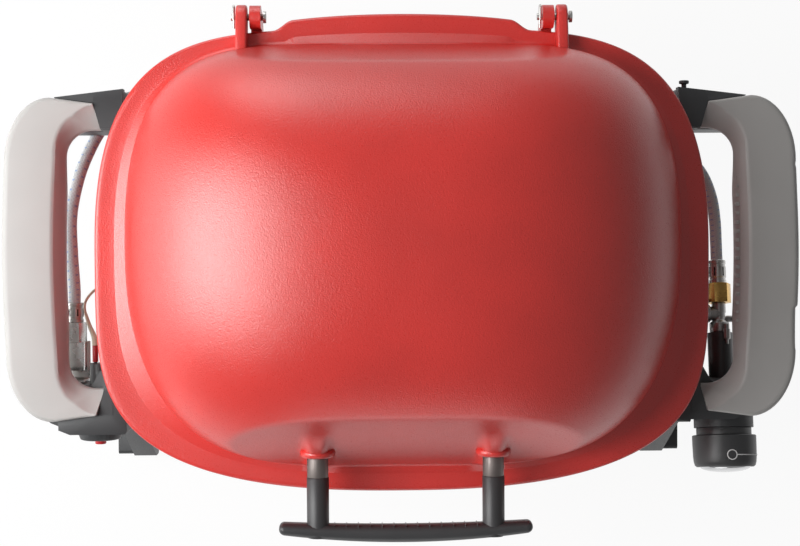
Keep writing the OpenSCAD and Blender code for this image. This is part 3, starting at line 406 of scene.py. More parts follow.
def rounded_copy(node, width, segments=2, angle=32, finish=None, smooth=40):
    """Piece with the shape of a CAD node and rounded edges, which stands for that node."""
    bm = bmesh.new()
    bm.from_mesh(NODES[node].data)
    bmesh.ops.remove_doubles(bm, verts=bm.verts, dist=2e-6)
    bmesh.ops.dissolve_limit(bm, angle_limit=math.radians(0.6), verts=bm.verts, edges=bm.edges)
    if width:
        round_edges(bm, sharp_edges(bm, angle), width, segments)
    return new_piece(f"{node}_rounded", bm, BODY_OF[node], SLOT_OF[node], finish, [node], smooth)


def lathe(profile, steps=64):
    """Turned shape about Z from (radius, height) pairs in mm, closed where the profile meets the axis."""
    bm = bmesh.new()
    chain = [bm.verts.new((radius*MM, 0.0, height*MM)) for radius, height in profile]
    edges = [bm.edges.new(pair) for pair in zip(chain, chain[1:])]
    bmesh.ops.spin(
        bm, geom=chain + edges, cent=(0, 0, 0), axis=(0, 0, 1), angle=math.tau, steps=steps, use_merge=True)
    bmesh.ops.remove_doubles(bm, verts=bm.verts, dist=1e-7)
    bmesh.ops.recalc_face_normals(bm, faces=bm.faces)
    return bm


def loft(stations, sides, point):
    """Closed tube of sections: point(i, j) gives station i's corner j in mm. UV runs along and around it."""
    bm = bmesh.new()
    uv = bm.loops.layers.uv.new("UVMap")
    bmesh.ops.create_grid(bm, x_segments=stations, y_segments=sides, size=1.0, calc_uvs=False)
    for vert in bm.verts:
        i = round((vert.co.x + 1)/2*stations)
        j = round((vert.co.y + 1)/2*sides)
        for corner in vert.link_loops:
            corner[uv].uv = (i/stations, j/sides)
        vert.co = Vector(point(i, j % sides))*MM
    bmesh.ops.remove_doubles(bm, verts=bm.verts, dist=1e-6)
    bmesh.ops.holes_fill(bm, edges=[e for e in bm.edges if e.is_boundary], sides=0)
    bmesh.ops.recalc_face_normals(bm, faces=bm.faces)
    return bm


def join(*parts):
    """One bmesh that holds several."""
    whole = bmesh.new()
    for bm in parts:
        mesh = bpy.data.meshes.new("part")
        bm.to_mesh(mesh)
        bm.free()
        whole.from_mesh(mesh)
        bpy.data.meshes.remove(mesh)
    return whole


def moved(bm, matrix):
    bmesh.ops.transform(bm, matrix=matrix, verts=bm.verts)
    return bm


def block(low, high, rounding, segments=2):
    """Box between two corners in mm, with rounded edges."""
    bm = bmesh.new()
    low, high = Vector(low)*MM, Vector(high)*MM
    size = high - low
    bmesh.ops.create_cube(bm, size=1.0, matrix=Matrix.Translation((low + high)/2) @ Matrix.Diagonal((*size, 1)))
    round_edges(bm, bm.edges[:], rounding*MM, segments)
    return bm


def hull_of(points):
    """Closed hull of points in mm."""
    bm = bmesh.new()
    for point in points:
        bm.verts.new(Vector(point)*MM)
    bmesh.ops.convex_hull(bm, input=bm.verts)
    bmesh.ops.dissolve_limit(bm, angle_limit=math.radians(0.5), verts=bm.verts, edges=bm.edges)
    return bm


def spline_points(route, steps):
    """Smooth curve through a route's points."""
    points = [Vector(p) for p in route]
    last = len(points) - 1
    curve = []
    for i in range(last):
        a, b, c, d = points[max(i - 1, 0)], points[i], points[i + 1], points[min(i + 2, last)]
        for k in range(steps):
            t = k/steps
            curve.append((2*b + (c - a)*t + (2*a - 5*b + 4*c - d)*t*t + (3*b - a - 3*c + d)*t**3)/2)
    return curve + [points[last]]


def tube(route, radius, steps=8, sides=20, taper=1.0):
    """Round tube along a route, whose radius ends at a share of what it starts with."""
    curve = spline_points(route, steps)
    last = len(curve) - 1
    rings = []
    for i, middle in enumerate(curve):
        ahead = (curve[min(i + 1, last)] - curve[max(i - 1, 0)]).normalized()
        side = ahead.cross(Vector((0, 0, 1))).normalized()
        rings.append((middle + Vector((0, LID_Y, 0)), side, side.cross(ahead)))

    def point(i, j):
        middle, side, up = rings[i]
        turn = math.tau*j/sides
        return middle + radius*(1 + (taper - 1)*i/last)*(side*math.cos(turn) + up*math.sin(turn))

    return loft(last, sides, point)


def soft_step(value):
    value = min(1.0, max(0.0, value))
    return value*value*(3 - 2*value)


def smooth_min(a, b, width):
    near = max(width - abs(a - b), 0.0)/width
    return min(a, b) - near*near*width/4


def outline_radius(turn, shape, inset):
    """Distance from the middle to a rounded outline."""
    a, b = shape["a"] - inset, shape["b"] - inset
    low, high = 0.0, a + b
    for _ in range(26):
        radius = (low + high)/2
        reach = abs(radius*math.cos(turn)/a)**shape["ex"] + abs(radius*math.sin(turn)/b)**shape["ey"]
        low, high = (low, radius) if reach > 1 else (radius, high)
    return (low + high)/2


# Lid

def rim_point(turn, inset, height):
    radius = outline_radius(turn, RIM_FRONT if math.sin(turn) < 0 else RIM_REAR, inset)
    x, y = radius*math.cos(turn), radius*math.sin(turn)
    if y > 0:
        out = BULGE_OUT - BULGE_BOW*(x/BULGE_HALF)**2
        y += out*soft_step((BULGE_HALF + BULGE_RAMP - abs(x))/BULGE_RAMP)
    return Vector((x, y, height))


def fairing(x, height):
    """How far the fairing above a handle boss stands out of the front face."""
    across = abs(abs(x) - HANDLE_X)/FAIRING_HALF
    rise = (height - FAIRING_FOOT)/(FAIRING_TOP - FAIRING_FOOT)
    return FAIRING_OUT*math.exp(-across**4)*(1 - soft_step(rise))


def dome_point(turn, fall, skin, fairings=True):
    outline = DOME_FRONT if math.sin(turn) < 0 else DOME_REAR
    radius = outline_radius(turn, outline, skin)*math.sin(fall)**DOME_SWELL
    x, y = radius*math.cos(turn), DOME_Y + radius*math.sin(turn)
    top = (DOME_H - skin)*math.cos(fall)
    front = (y + FRONT_FOOT - skin/math.sin(FRONT_LEAN))*math.tan(FRONT_LEAN)
    if fairings:
        front += fairing(x, front)/math.sin(FRONT_LEAN)*math.tan(FRONT_LEAN)
    rear = (REAR_FOOT - skin/math.sin(REAR_LEAN) - y)*math.tan(REAR_LEAN)
    height = smooth_min(smooth_min(top, front, CREASE), rear, CREASE)
    return Vector((x, y, DOME_Z + max(0.0, height)))


# Flange between the dome and the rim: share of the way out, and height
FLANGE = [(0.03, 230.8), (0.07, 229.8), (0.12, 228.9), (0.18, 228.1), (0.25, 227.5), (0.33, 227.15), (0.42, 227.0),
          (0.6, 227.05), (0.78, 227.3), (0.88, 227.4)]
# Rim edge: inset and height
RIM_EDGE = [(2.4, 227.3), (1.4, 226.9), (0.6, 226.2), (0.15, 225.2), (0.0, 224.0), (0.0, 221.6), (0.3, 220.6),
            (1.0, 220.0), (LID_WALL, SEAM_Z), (LID_WALL, 222.6), (5.5, 223.2)]
OUTER_RINGS, INNER_RINGS = 96, 24


def lid_rings():
    """Rings of the casting from the outer top to the inner top, each a function of the angle."""
    quarter = math.pi/2
    rings = [lambda t, k=k: dome_point(t, quarter*k/OUTER_RINGS, 0.0) for k in range(OUTER_RINGS + 1)]

    def flange_point(t, share, height):
        place = dome_point(t, quarter, 0.0).lerp(rim_point(t, 0.0, DOME_Z), share)
        place.z = height
        return place

    rings += [lambda t, s=share, z=height: flange_point(t, s, z) for share, height in FLANGE]
    rings += [lambda t, s=inset, z=height: rim_point(t, s, z) for inset, height in RIM_EDGE]
    rings += [lambda t, k=k: dome_point(t, quarter*k/INNER_RINGS, LID_WALL, False)
              for k in range(INNER_RINGS, -1, -1)]
    return rings


def lid_casting(segments):
    """Turned grid of the lid, then each ring set to its own outline."""
    rings = lid_rings()
    bm = bmesh.new()
    chain = [bm.verts.new((1.0 + i, 0.0, 0.0)) for i in range(len(rings))]
    edges = [bm.edges.new(pair) for pair in zip(chain, chain[1:])]
    bmesh.ops.spin(
        bm, geom=chain + edges, cent=(0, 0, 0), axis=(0, 0, 1), angle=math.tau, steps=segments, use_merge=True)
    for vert in bm.verts:
        turn = math.atan2(vert.co.y, vert.co.x)
        ring = round(vert.co.xy.length) - 1
        vert.co = (rings[ring](turn) + Vector((0, LID_Y, 0)))*MM
    bmesh.ops.remove_doubles(bm, verts=bm.verts, dist=2e-6)
    bmesh.ops.recalc_face_normals(bm, faces=bm.faces)
    return bm


def hull_plate(x0, x1, outline, rounding):
    """Plate across X whose outline is the hull of points (y, z) in mm, with rounded edges."""
    bm = hull_of([(x, y + LID_Y, z) for x in (x0, x1) for y, z in outline])
    round_edges(bm, sharp_edges(bm, 50), rounding*MM, 3)
    return bm


def circle_points(y, z, radius, count=28):
    return [(y + radius*math.cos(math.tau*k/count), z + radius*math.sin(math.tau*k/count)) for k in range(count)]


# Collar round the end of each handle boss: radius and distance in front of the lid's middle
COLLAR = [(0.0, 150.0), (9.8, 150.0), (10.6, 156.5), (11.6, 158.6), (13.4, 159.6), (14.6, 161.0), (15.0, 162.8),
          (14.8, 164.6), (13.9, 165.9), (12.4, 166.5), (0.0, 166.5)]


def forward(x, z):
    """Places a shape turned about Z so that its axis runs forward from the lid's middle."""
    turn = Matrix.Rotation(math.radians(90), 4, "X")
    return Matrix.Translation(Vector((x, LID_Y, z))*MM) @ turn


class GRILL_OT_lid(bpy.types.Operator):
    """Lid casting with its handle collars and hinge lugs"""

    bl_idname = "grill.lid"
    bl_label = "Lid"

    def execute(self, context):
        new_piece("lid_casting", lid_casting(context.scene.grill_sizes.lid_segments), "lid", "red_enamel",
                  replaces=["lid"], smooth=60)
        collars = [moved(lathe(COLLAR, 48), forward(side*HANDLE_X, HANDLE_Z)) for side in (-1, 1)]
        new_piece("lid_collars", join(*collars), "lid", "red_enamel", smooth=60)
        near = HINGE_X + LUG_GAP/2
        outline = circle_points(HINGE_Y, HINGE_Z, LUG_R) + LUG_TAIL
        lugs = [hull_plate(side*near, side*(near + LUG_W), outline, 1.8) for side in (-1, 1)]
        new_piece("lid_hinge_lugs", join(*lugs), "lid", "red_enamel", smooth=50)
        return {"FINISHED"}


# Handle

def bar_stations():
    """Places along the handle bar, close together where its ends are rounded."""
    ends = [BAR_HALF - BAR_ROUND*(1 - math.cos(math.pi/2*k/8)) for k in range(8)]
    middle = [(BAR_HALF - BAR_ROUND)*(1 - k/20) for k in range(20)]
    half = ends + middle
    return half + [0.0] + [-x for x in reversed(half)]


def bar_loft(sides=28):
    """Handle bar: thinner towards its ends and bowed to the front."""
    places = bar_stations()

    def point(i, j):
        x = places[i]
        u = x/BAR_HALF
        left = min(BAR_HALF - abs(x), BAR_ROUND)
        trim = BAR_ROUND - math.sqrt(max(0.0, BAR_ROUND**2 - (BAR_ROUND - left)**2))
        full = BAR_MID - (BAR_MID - BAR_END)*u*u
        middle_y = -BAR_FRONT + BAR_BOW*u*u + full/2
        turn = math.tau*j/sides
        across = math.copysign(abs(math.cos(turn))**(2/2.6), math.cos(turn))
        up = math.copysign(abs(math.sin(turn))**(2/2.6), math.sin(turn))
        return x, LID_Y + middle_y + (full/2 - trim*0.9)*across, HANDLE_Z + (BAR_TALL - trim)*up

    return loft(len(places) - 1, sides, point)


POST = [(0.0, 183.5), (8.9, 183.5), (9.4, 184.0), (9.4, 226.0), (9.8, 231.0), (9.0, 234.5), (0.0, 236.0)]


class GRILL_OT_handle(bpy.types.Operator):
    """Handle bar with its posts, fine ribs and metal sleeves"""

    bl_idname = "grill.handle"
    bl_label = "Handle"

    def execute(self, context):
        new_piece("handle_bar", bar_loft(), "lid", "black_nylon", replaces=["lid_handle"], smooth=60)
        posts = [moved(lathe(POST, 48), forward(side*HANDLE_X, HANDLE_Z)) for side in (-1, 1)]
        new_piece("handle_posts", join(*posts), "lid", "black_nylon", smooth=50)
        count = context.scene.grill_sizes.rib_count
        span = 2*(HANDLE_X - 14)
        ribs = []
        for k in range(count):
            x = -span/2 + span*k/(count - 1)
            back = -BAR_FRONT + BAR_BOW*(x/BAR_HALF)**2 + BAR_MID - (BAR_MID - BAR_END)*(x/BAR_HALF)**2 + LID_Y
            ribs.append(block((x - 0.35, back - 5.0, HANDLE_Z - 8.3), (x + 0.35, back - 0.2, HANDLE_Z + 8.3), 0.3, 1))
        new_piece("handle_ribs", join(*ribs), "lid", "black_nylon")
        rounded_copy("handle_sleeves", SHEET_ROUND, finish=finish_for("sleeve_metal"))
        rounded_copy("handle_screws", SCREW_ROUND)
        return {"FINISHED"}


# Cookbox, hinges and what is inside

class GRILL_OT_cookbox(bpy.types.Operator):
    """Cookbox casting, hinge pins, clips and cooking grates"""

    bl_idname = "grill.cookbox"
    bl_label = "Cookbox and grates"

    def execute(self, context):
        rounded_copy("cookbox", 0.0, smooth=38)
        rounded_copy("hinge_pins", SHEET_ROUND)
        rounded_copy("hairpin_clips", 0.0)
        rounded_copy("cooking_grate_left", CAST_ROUND)
        rounded_copy("cooking_grate_right", CAST_ROUND)
        return {"FINISHED"}


# Gas ports: discs in painted shade that stand for the holes, in a row on each long side of the burner, leaning outwards
PORT = [(0.0, -0.6), (1.1, -0.6), (1.1, 0.08), (0.0, 0.08)]
PORT_SPAN, PORT_Y, PORT_LEAN, BURNER_R = 230.0, 70.0, math.radians(40), 9.5


class GRILL_OT_burner(bpy.types.Operator):
    """Burner tube with its ports, supports, air shutter, electrode and ground screw"""

    bl_idname = "grill.burner"
    bl_label = "Burner"

    def execute(self, context):
        rounded_copy("burner_tube", 0.0)
        for node in ("burner_supports", "air_shutter", "igniter_electrode", "ground_screw"):
            rounded_copy(node, SHEET_ROUND)
        count = context.scene.grill_sizes.port_count
        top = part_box("burner_tube")[1].z/MM
        out = Matrix.Translation((0, 0, BURNER_R*MM))
        ports = []
        for side in (-1, 1):
            turn = Matrix.Rotation(-side*PORT_LEAN, 4, "X")
            for k in range(count):
                x = PORT_SPAN*(k/(count - 1) - 0.5)
                place = Matrix.Translation(Vector((x, LID_Y + side*PORT_Y, top - BURNER_R))*MM)
                ports.append(moved(lathe(PORT, 10), place @ turn @ out))
        # The ports are painted shade: dark discs laid on the tube instead of holes
        new_piece("burner_ports", join(*ports), BODY_OF["burner_tube"], "cast_iron", finish_for("painted_hole_shade"))
        return {"FINISHED"}


# Frame, grips and tray

PAD = [(0.0, 0.0), (12.6, 0.0), (13.8, 0.5), (14.6, 1.6), (14.9, 3.0), (14.5, 3.9), (14.5, 4.6), (14.9, 5.2),
       (14.9, 6.0), (0.0, 6.0)]
PAD_R = 15.0


class GRILL_OT_frame(bpy.types.Operator):
    """End frames, rails, foot pads, hook and their screws"""

    bl_idname = "grill.frame"
    bl_label = "Frame"

    def execute(self, context):
        sizes = context.scene.grill_sizes
        for node in ("left_end_frame", "right_end_frame"):
            rounded_copy(node, sizes.frame_round, 3)
        for node in ("front_rail", "rear_rail", "tool_hook"):
            rounded_copy(node, RAIL_ROUND)
        for node in ("grip_screws", "rail_screws", "cookbox_screws"):
            rounded_copy(node, SCREW_ROUND)
        low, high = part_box("foot_pads")
        half_x = high.x/MM - PAD_R
        pads = [moved(lathe(PAD, 40), Matrix.Translation(Vector((side*half_x, y, 0))*MM))
                for side in (-1, 1) for y in (low.y/MM + PAD_R, high.y/MM - PAD_R)]
        new_piece("foot_pads_ribbed", join(*pads), BODY_OF["foot_pads"], "rubber", replaces=["foot_pads"])
        return {"FINISHED"}


GRIP_ARM, GRIP_ARC, GRIP_STRAIGHT = 6, 14, 84
GRIP_INNER = 0.42
SLOPE_ON_ARM, SLOPE_ON_BAR = 22.0, 8.0
PANEL_FROM, PANEL_TO, PANEL_OUT = -46.0, 80.0, 2.4


def grip_section(bend, inner):
    """Section of a grip: share of the way from outer to inner edge, and share of the height.

    The flat top ends at the bend, and the side slopes from there to the inner edge's height.
    """
    shoulder = min(0.13, bend*0.6)
    outer_edge = [(0.0, 0.10), (0.0, 0.80), (shoulder*0.09, 0.90), (shoulder*0.35, 0.97), (shoulder*0.7, 0.996)]
    top = [(shoulder, 1.0), (bend - 0.03, 1.0), (bend - 0.01, 0.996), (bend + 0.012, 0.984), (bend + 0.04, 0.955)]
    slope = [(0.5*bend + 0.485, 0.5*inner + 0.49), (0.955, inner + 0.07), (0.985, inner + 0.015), (1.0, inner - 0.06)]
    under = [(1.0, 0.14), (0.985, 0.05), (0.95, 0.012), (0.90, 0.0), (0.50, 0.0), (0.10, 0.0), (0.045, 0.012),
             (0.012, 0.05)]
    return outer_edge + top + slope + under


def grip_line(x, end, radii, bow, panel=0.0):
    """One edge of the grip in plan, from its rear end to its front end."""
    flat = end - radii[1]
    centre = x - bow - radii[0]
    line = []
    for k in range(GRIP_ARC + 1):
        turn = math.pi/2*(1 - k/GRIP_ARC)
        line.append((centre + radii[0]*math.cos(turn), flat + radii[1]*math.sin(turn)))
    corner = list(line)
    for k in range(1, GRIP_STRAIGHT):
        t = k/GRIP_STRAIGHT
        y = flat*(1 - 2*t)
        raised = soft_step((y - PANEL_FROM)/2.5)*soft_step((PANEL_TO - y)/2.5)
        line.append((x - bow + bow*math.sin(math.pi*t) - panel*(1 - raised)*math.sin(math.pi*t)**0.5, y))
    return line + [(px, -py) for px, py in reversed(corner)]


def with_arms(line, end):
    """Adds the straight arms at both ends of a grip's edge."""
    start = Vector(line[0])
    arm = [Vector(end).lerp(start, k/GRIP_ARM) for k in range(GRIP_ARM)]
    return [(p.x, p.y) for p in arm] + line + [(p.x, -p.y) for p in reversed(arm)]


def fold_share(step, width):
    """Where the flat top folds into the inner slope, which is as wide as the arm at its end and narrow after."""
    turned = soft_step(step/(GRIP_ARM + GRIP_ARC))
    slope = SLOPE_ON_ARM + (SLOPE_ON_BAR - SLOPE_ON_ARM)*turned
    return max(0.08, 1 - slope/width)


def grip_edges(panel):
    outer = grip_line(GRIP_OUT, GRIP_HALF, (40.0, 58.0), 3.0, panel)
    inner = grip_line(GRIP_OUT - GRIP_WIDE, GRIP_END_IN, (24.0, 24.0), 3.0)
    outer = with_arms(outer, (GRIP_END_X + GRIP_END_SKEW, GRIP_END_OUT))
    inner = with_arms(inner, (GRIP_END_X + 0.1, GRIP_END_IN))
    return outer, inner


def grip_loft(side):
    outer, inner = grip_edges(PANEL_OUT if side > 0 else 0.0)
    last = len(outer) - 1
    start = GRIP_ARM - 1 + GRIP_ARC*5/6

    def point(i, j):
        step = min(i, last - i)
        width = math.dist(outer[i], inner[i])
        along, share = grip_section(fold_share(step, width), GRIP_INNER)[j]
        x = outer[i][0]*(1 - along) + inner[i][0]*along
        y = outer[i][1]*(1 - along) + inner[i][1]*along
        drop = soft_step((step - start)/(GRIP_ARC*1.5))
        low = GRIP_SEAT - (GRIP_SEAT - GRIP_LOW)*drop
        return side*x, y + LID_Y, low + (GRIP_TOP - low)*share

    return loft(last, len(grip_section(0.8, GRIP_INNER)), point)


def arm_cheek(side):
    """Wedge of a front arm that the slanted end of a grip butts against."""
    near, far, inner = GRIP_END_X - 8.0, GRIP_END_X - GRIP_GAP, GRIP_END_IN + 0.5
    plan = [(near, inner), (far, inner), (far + GRIP_END_SKEW, GRIP_END_OUT), (near, GRIP_END_OUT)]
    return hull_of([(side*x, LID_Y - y, z) for z in (GRIP_SEAT - 0.5, ARM_TOP + 0.4) for x, y in plan])


def arm_cover(side):
    """Smooth top of a rear arm: level beside the end of a grip, and sloping down to its rear edge."""
    near, butt, far = 244.2, GRIP_END_X - GRIP_GAP, 304.0
    bend = butt + GRIP_END_SKEW
    inner, fold, low = GRIP_END_IN + 0.5, GRIP_END_OUT + 0.4, 198.0
    inner_top, fold_top, edge_top = ARM_TOP + 4.5, ARM_TOP + 5.2, ARM_TOP + 0.4
    body = [(near, inner, inner_top), (butt, inner, inner_top), (near, fold, fold_top),
            (bend, fold, fold_top), (near, 149.7, edge_top), (bend, 146.7, edge_top)]
    tail = [(bend - 0.1, fold, fold_top), (far, 141.9, ARM_TOP + 1.0), (bend - 0.1, 146.7, edge_top),
            (far, 142.6, edge_top)]
    return [hull_of([(side*x, LID_Y + y, z) for x, y, top in part for z in (low, top)]) for part in (body, tail)]


class GRILL_OT_grips(bpy.types.Operator):
    """Side grips, with fine ribs on the right grip's inner edge"""

    bl_idname = "grill.grips"
    bl_label = "Side grips"

    def execute(self, context):
        for side, name in ((-1, "left"), (1, "right")):
            new_piece(f"{name}_grip_moulding", grip_loft(side), BODY_OF[f"{name}_grip"], "grip_grey",
                      replaces=[f"{name}_grip"], smooth=45)
        inner = GRIP_OUT - GRIP_WIDE
        ribs = [block((inner - 1.4, y - 1.6 + LID_Y, 188), (inner + 2.0, y + 1.6 + LID_Y, 198), 0.6)
                for y in range(-58, 76, 8)]
        new_piece("right_grip_ribs", join(*ribs), BODY_OF["right_grip"], "grip_grey")
        cheeks = [arm_cheek(side) for side in (-1, 1)]
        new_piece("arm_cheeks", join(*cheeks), BODY_OF["left_end_frame"], "charcoal_nylon")
        covers = [cover for side in (-1, 1) for cover in arm_cover(side)]
        new_piece("arm_covers", join(*covers), BODY_OF["left_end_frame"], "charcoal_nylon", smooth=25)
        return {"FINISHED"}


class GRILL_OT_tray(bpy.types.Operator):
    """Drip tray, its runners and their screws"""

    bl_idname = "grill.tray"
    bl_label = "Drip tray"

    def execute(self, context):
        rounded_copy("drip_tray", RAIL_ROUND)
        rounded_copy("drip_tray_runners", SHEET_ROUND)
        rounded_copy("runner_screws", SCREW_ROUND)
        return {"FINISHED"}


# Gas line

def on_stem():
    """Places a shape turned about Z on the valve line, with its heights forward along the stem."""
    return Matrix.Translation(VALVE*MM) @ Matrix.Rotation(math.radians(90) - STEM_TILT, 4, "X")


VALVE_BODY = [(0.0, -24.0), (5.2, -24.0), (5.2, -10.0), (6.3, -10.0), (6.5, -9.0), (6.5, -1.0), (5.9, 0.0), (5.9, 6.0),
              (6.6, 7.0), (8.6, 8.5), (9.2, 9.5), (9.2, 16.6), (8.4, 18.0), (0.0, 18.0)]
VALVE_OUTLET = [(0.0, 0.0), (6.6, 0.0), (6.6, 8.0), (7.6, 8.6), (8.4, 9.4), (8.4, 12.4), (7.6, 13.4), (5.8, 14.0),
                (5.8, 24.0), (0.0, 24.0)]
VALVE_PIN = [(0.0, 0.0), (2.5, 0.0), (2.5, 6.6), (3.1, 7.0), (3.1, 12.2), (2.6, 12.8), (0.0, 12.8)]
LOW_FLAME_SCREW = [(0.0, 11.0), (2.6, 11.0), (2.6, 15.5), (3.3, 16.0), (3.3, 24.4), (2.7, 25.2), (1.5, 25.4),
                   (1.5, 29.0), (1.1, 29.6), (0.0, 29.6)]
LOW_FLAME_PLACE = Vector((4.0, 10.8, 0.0))
PIN_LIFT = 5.0

FERRULE = [(5.6, 0.0), (7.6, 0.0), (8.1, 0.5), (8.1, 3.2), (7.5, 3.8), (7.5, 5.4), (8.1, 6.0), (8.1, 16.0), (7.5, 16.6),
           (7.5, 18.2), (8.1, 18.8), (8.1, 21.4), (7.6, 22.0), (5.6, 22.0), (5.6, 0.0)]


# Where the two ferrules start and how long they are
INLET_X, INLET_AHEAD, INLET_Z, INLET_FERRULE = -300.0, 40.0, 148.0, 18.0
VALVE_BEHIND, VALVE_FERRULE = 50.0, 22.0


def ferrule(length, slots):
    share = length/FERRULE[-2][1]
    shell = lathe([(radius, height*share) for radius, height in FERRULE], 40)
    marks = []
    for k in range(slots):
        # Each slot is a near-black block on the shell: painted shade of a crimp recess
        slot = block((7.3, -0.8, 7.0*share), (8.2, 0.8, 15.0*share), 0.2, 1)
        marks.append(moved(slot, Matrix.Rotation(math.tau*k/slots, 4, "Z")))
    return shell, join(*marks)


class GRILL_OT_gas_line(bpy.types.Operator):
    """Valve, nuts, ferrules, braided hose, inlet fitting and clips"""

    bl_idname = "grill.gas_line"
    bl_label = "Gas line"

    def execute(self, context):
        edge = context.scene.grill_sizes.metal_round
        for node in ("stem_sleeve", "stem_washer", "valve_stem", "valve_hose_nut", "hose_clips", "inlet_bracket"):
            rounded_copy(node, edge)
        for node in ("inlet_hose_nut", "inlet_fitting"):
            rounded_copy(node, edge, finish=finish_for("bright_plate"))
        to_left = Matrix.Rotation(math.radians(-90), 4, "Y")
        to_right = Matrix.Translation((0, 0, PIN_LIFT*MM)) @ Matrix.Rotation(math.radians(90), 4, "Y")
        body = [lathe(VALVE_BODY, 40), moved(lathe(VALVE_OUTLET, 32), to_left), moved(lathe(VALVE_PIN, 24), to_right),
                moved(lathe(LOW_FLAME_SCREW, 24), Matrix.Translation(LOW_FLAME_PLACE*MM))]
        new_piece("valve_casting", moved(join(*body), on_stem()), BODY_OF["gas_valve"], "steel", finish_for("zinc"),
                  ["gas_valve"])
        new_piece("gas_hose_braided", tube(HOSE_ROUTE, HOSE_R, 8, 24), BODY_OF["gas_hose"], "hose_braid",
                  replaces=["gas_hose"], smooth=60)
        inlet = forward(INLET_X, INLET_Z) @ Matrix.Translation((0, 0, INLET_AHEAD*MM))
        valve = on_stem() @ Matrix.Translation((0, 0, -VALVE_BEHIND*MM))
        shells, slots = [], []
        for place, length in ((inlet, INLET_FERRULE), (valve, VALVE_FERRULE)):
            shell, marks = ferrule(length, 6)
            shells.append(moved(shell, place))
            slots.append(moved(marks, place))
        new_piece("crimped_ferrules", join(*shells), BODY_OF["hose_ferrules"], "steel", replaces=["hose_ferrules"])
        # The ferrule slots are painted shade, not cut recesses
        new_piece("ferrule_slots", join(*slots), BODY_OF["hose_ferrules"], "steel", finish_for("painted_hole_shade"))
        return {"FINISHED"}


# Knob and igniter

KNOB = [(0.0, 123.0), (25.8, 123.0), (26.0, 113.6), (26.5, 113.0), (28.3, 113.0), (29.0, 113.7), (29.0, 120.0),
        (28.8, 132.0), (28.3, 137.5), (27.4, 140.6), (25.8, 142.0), (23.6, 142.0), (22.9, 141.4), (22.9, 140.0),
        (0.0, 140.0)]
CAP = [(0.0, 140.0), (22.8, 140.0), (22.8, 142.2), (22.2, 143.2), (19.5, 144.6), (15.0, 145.8), (8.0, 146.7),
       (0.0, 147.0)]


# White mark on the skirt: place along the knob, ring, width of its line and the turn at which it ends
MARK_AT, MARK_R, MARK_WIDE, MARK_END = 131.5, 4.3, 0.9, 1.3


def skirt_point(turn, height, out=0.14):
    """Point on the knob's skirt: turn about its axis from the top, and height along it."""
    radius = KNOB_R - 0.2*max(0.0, height - 120.0)/12.0 + out
    return Vector((radius*math.sin(turn), radius*math.cos(turn), height))


def mark_ring(turn, height, radius, wide):
    """Flat ring laid on the skirt."""
    bm = bmesh.new()
    for edge_radius in (radius - wide/2, radius + wide/2):
        bmesh.ops.create_circle(bm, segments=40, radius=edge_radius)
    bmesh.ops.bridge_loops(bm, edges=bm.edges[:])
    for vert in bm.verts:
        vert.co = skirt_point(turn + vert.co.x/KNOB_R, height + vert.co.y)*MM
    return bm


def mark_line(turn_from, turn_to, height, wide):
    """Flat line laid round the skirt."""
    bm = bmesh.new()
    bmesh.ops.create_grid(bm, x_segments=30, y_segments=1, size=1.0)
    for vert in bm.verts:
        share = (vert.co.x + 1)/2
        vert.co = skirt_point(turn_from + (turn_to - turn_from)*share, height + vert.co.y*wide/2)*MM
    return bm


def solid_mark(bm):
    """Gives a flat mark its thickness."""
    bmesh.ops.recalc_face_normals(bm, faces=bm.faces)
    bmesh.ops.solidify(bm, geom=bm.faces[:], thickness=0.25*MM)
    bmesh.ops.recalc_face_normals(bm, faces=bm.faces)
    return bm


class GRILL_OT_knob(bpy.types.Operator):
    """Control knob with its chrome face and white mark, and the ring behind it"""

    bl_idname = "grill.knob"
    bl_label = "Control knob"

    def execute(self, context):
        new_piece("knob_body", moved(lathe(KNOB, 96), on_stem()), "knob", "black_nylon", replaces=["control_knob"])
        new_piece("knob_face", moved(lathe(CAP, 96), on_stem()), "knob", "chrome", replaces=["knob_cap"], smooth=50)
        ring = mark_ring(0.0, MARK_AT, MARK_R, MARK_WIDE)
        line = mark_line((MARK_R + 0.4)/KNOB_R, MARK_END, MARK_AT, MARK_WIDE)
        marks = [moved(solid_mark(bm), on_stem()) for bm in (ring, line)]
        new_piece("knob_mark", join(*marks), "knob", "black_nylon", finish_for("mark_white"))
        rounded_copy("knob_bezel", BODY_ROUND)
        return {"FINISHED"}


class GRILL_OT_igniter(bpy.types.Operator):
    """Igniter body, bezel, button, wires and terminal sleeves"""

    bl_idname = "grill.igniter"
    bl_label = "Igniter"

    def execute(self, context):
        rounded_copy("igniter_body", BODY_ROUND)
        rounded_copy("igniter_bezel", CAST_ROUND)
        rounded_copy("igniter_button", 0.0009)
        rounded_copy("terminal_sleeves", SCREW_ROUND)
        wires = [tube(route, WIRE_R, 8, 14) for route in (LIVE_WIRE, GROUND_WIRE)]
        new_piece("igniter_wires_silicone", join(*wires), BODY_OF["igniter_wires"], "wire_cream",
                  replaces=["igniter_wires"], smooth=60)
        new_piece("wire_boot", tube(LIVE_WIRE[:4], 3.0, 8, 18, 0.45), BODY_OF["igniter_wires"], "wire_cream",
                  smooth=60)
        return {"FINISHED"}


# Stage

# Share of white in the surroundings' light and in reflections
AMBIENT, REFLECTED = 0.11, 0.32
# Share of white that the floor shows to the camera
FLOOR_WHITE = 0.93
# Soft lamps: place, target, power in watts and size in metres
LAMPS = {
    "key": ((-1.25, -0.02, 0.85), (0.0, 0.0, 0.2), 6.0, 0.75),
    "overhead": ((-1.0, 0.02, 1.27), (0.0, 0.0, 0.2), 15.2, 0.9),
    "panel": ((-1.3, 0.0, 0.45), (0.0, 0.0, 0.25), 5.2, 1.1),
    "rear": ((-0.4, 1.35, 0.6), (0.0, 0.1, 0.25), 6.0, 0.9),
    "front": ((0.0, -1.4, 0.45), (0.0, 0.0, 0.25), 2.5, 0.8),
}


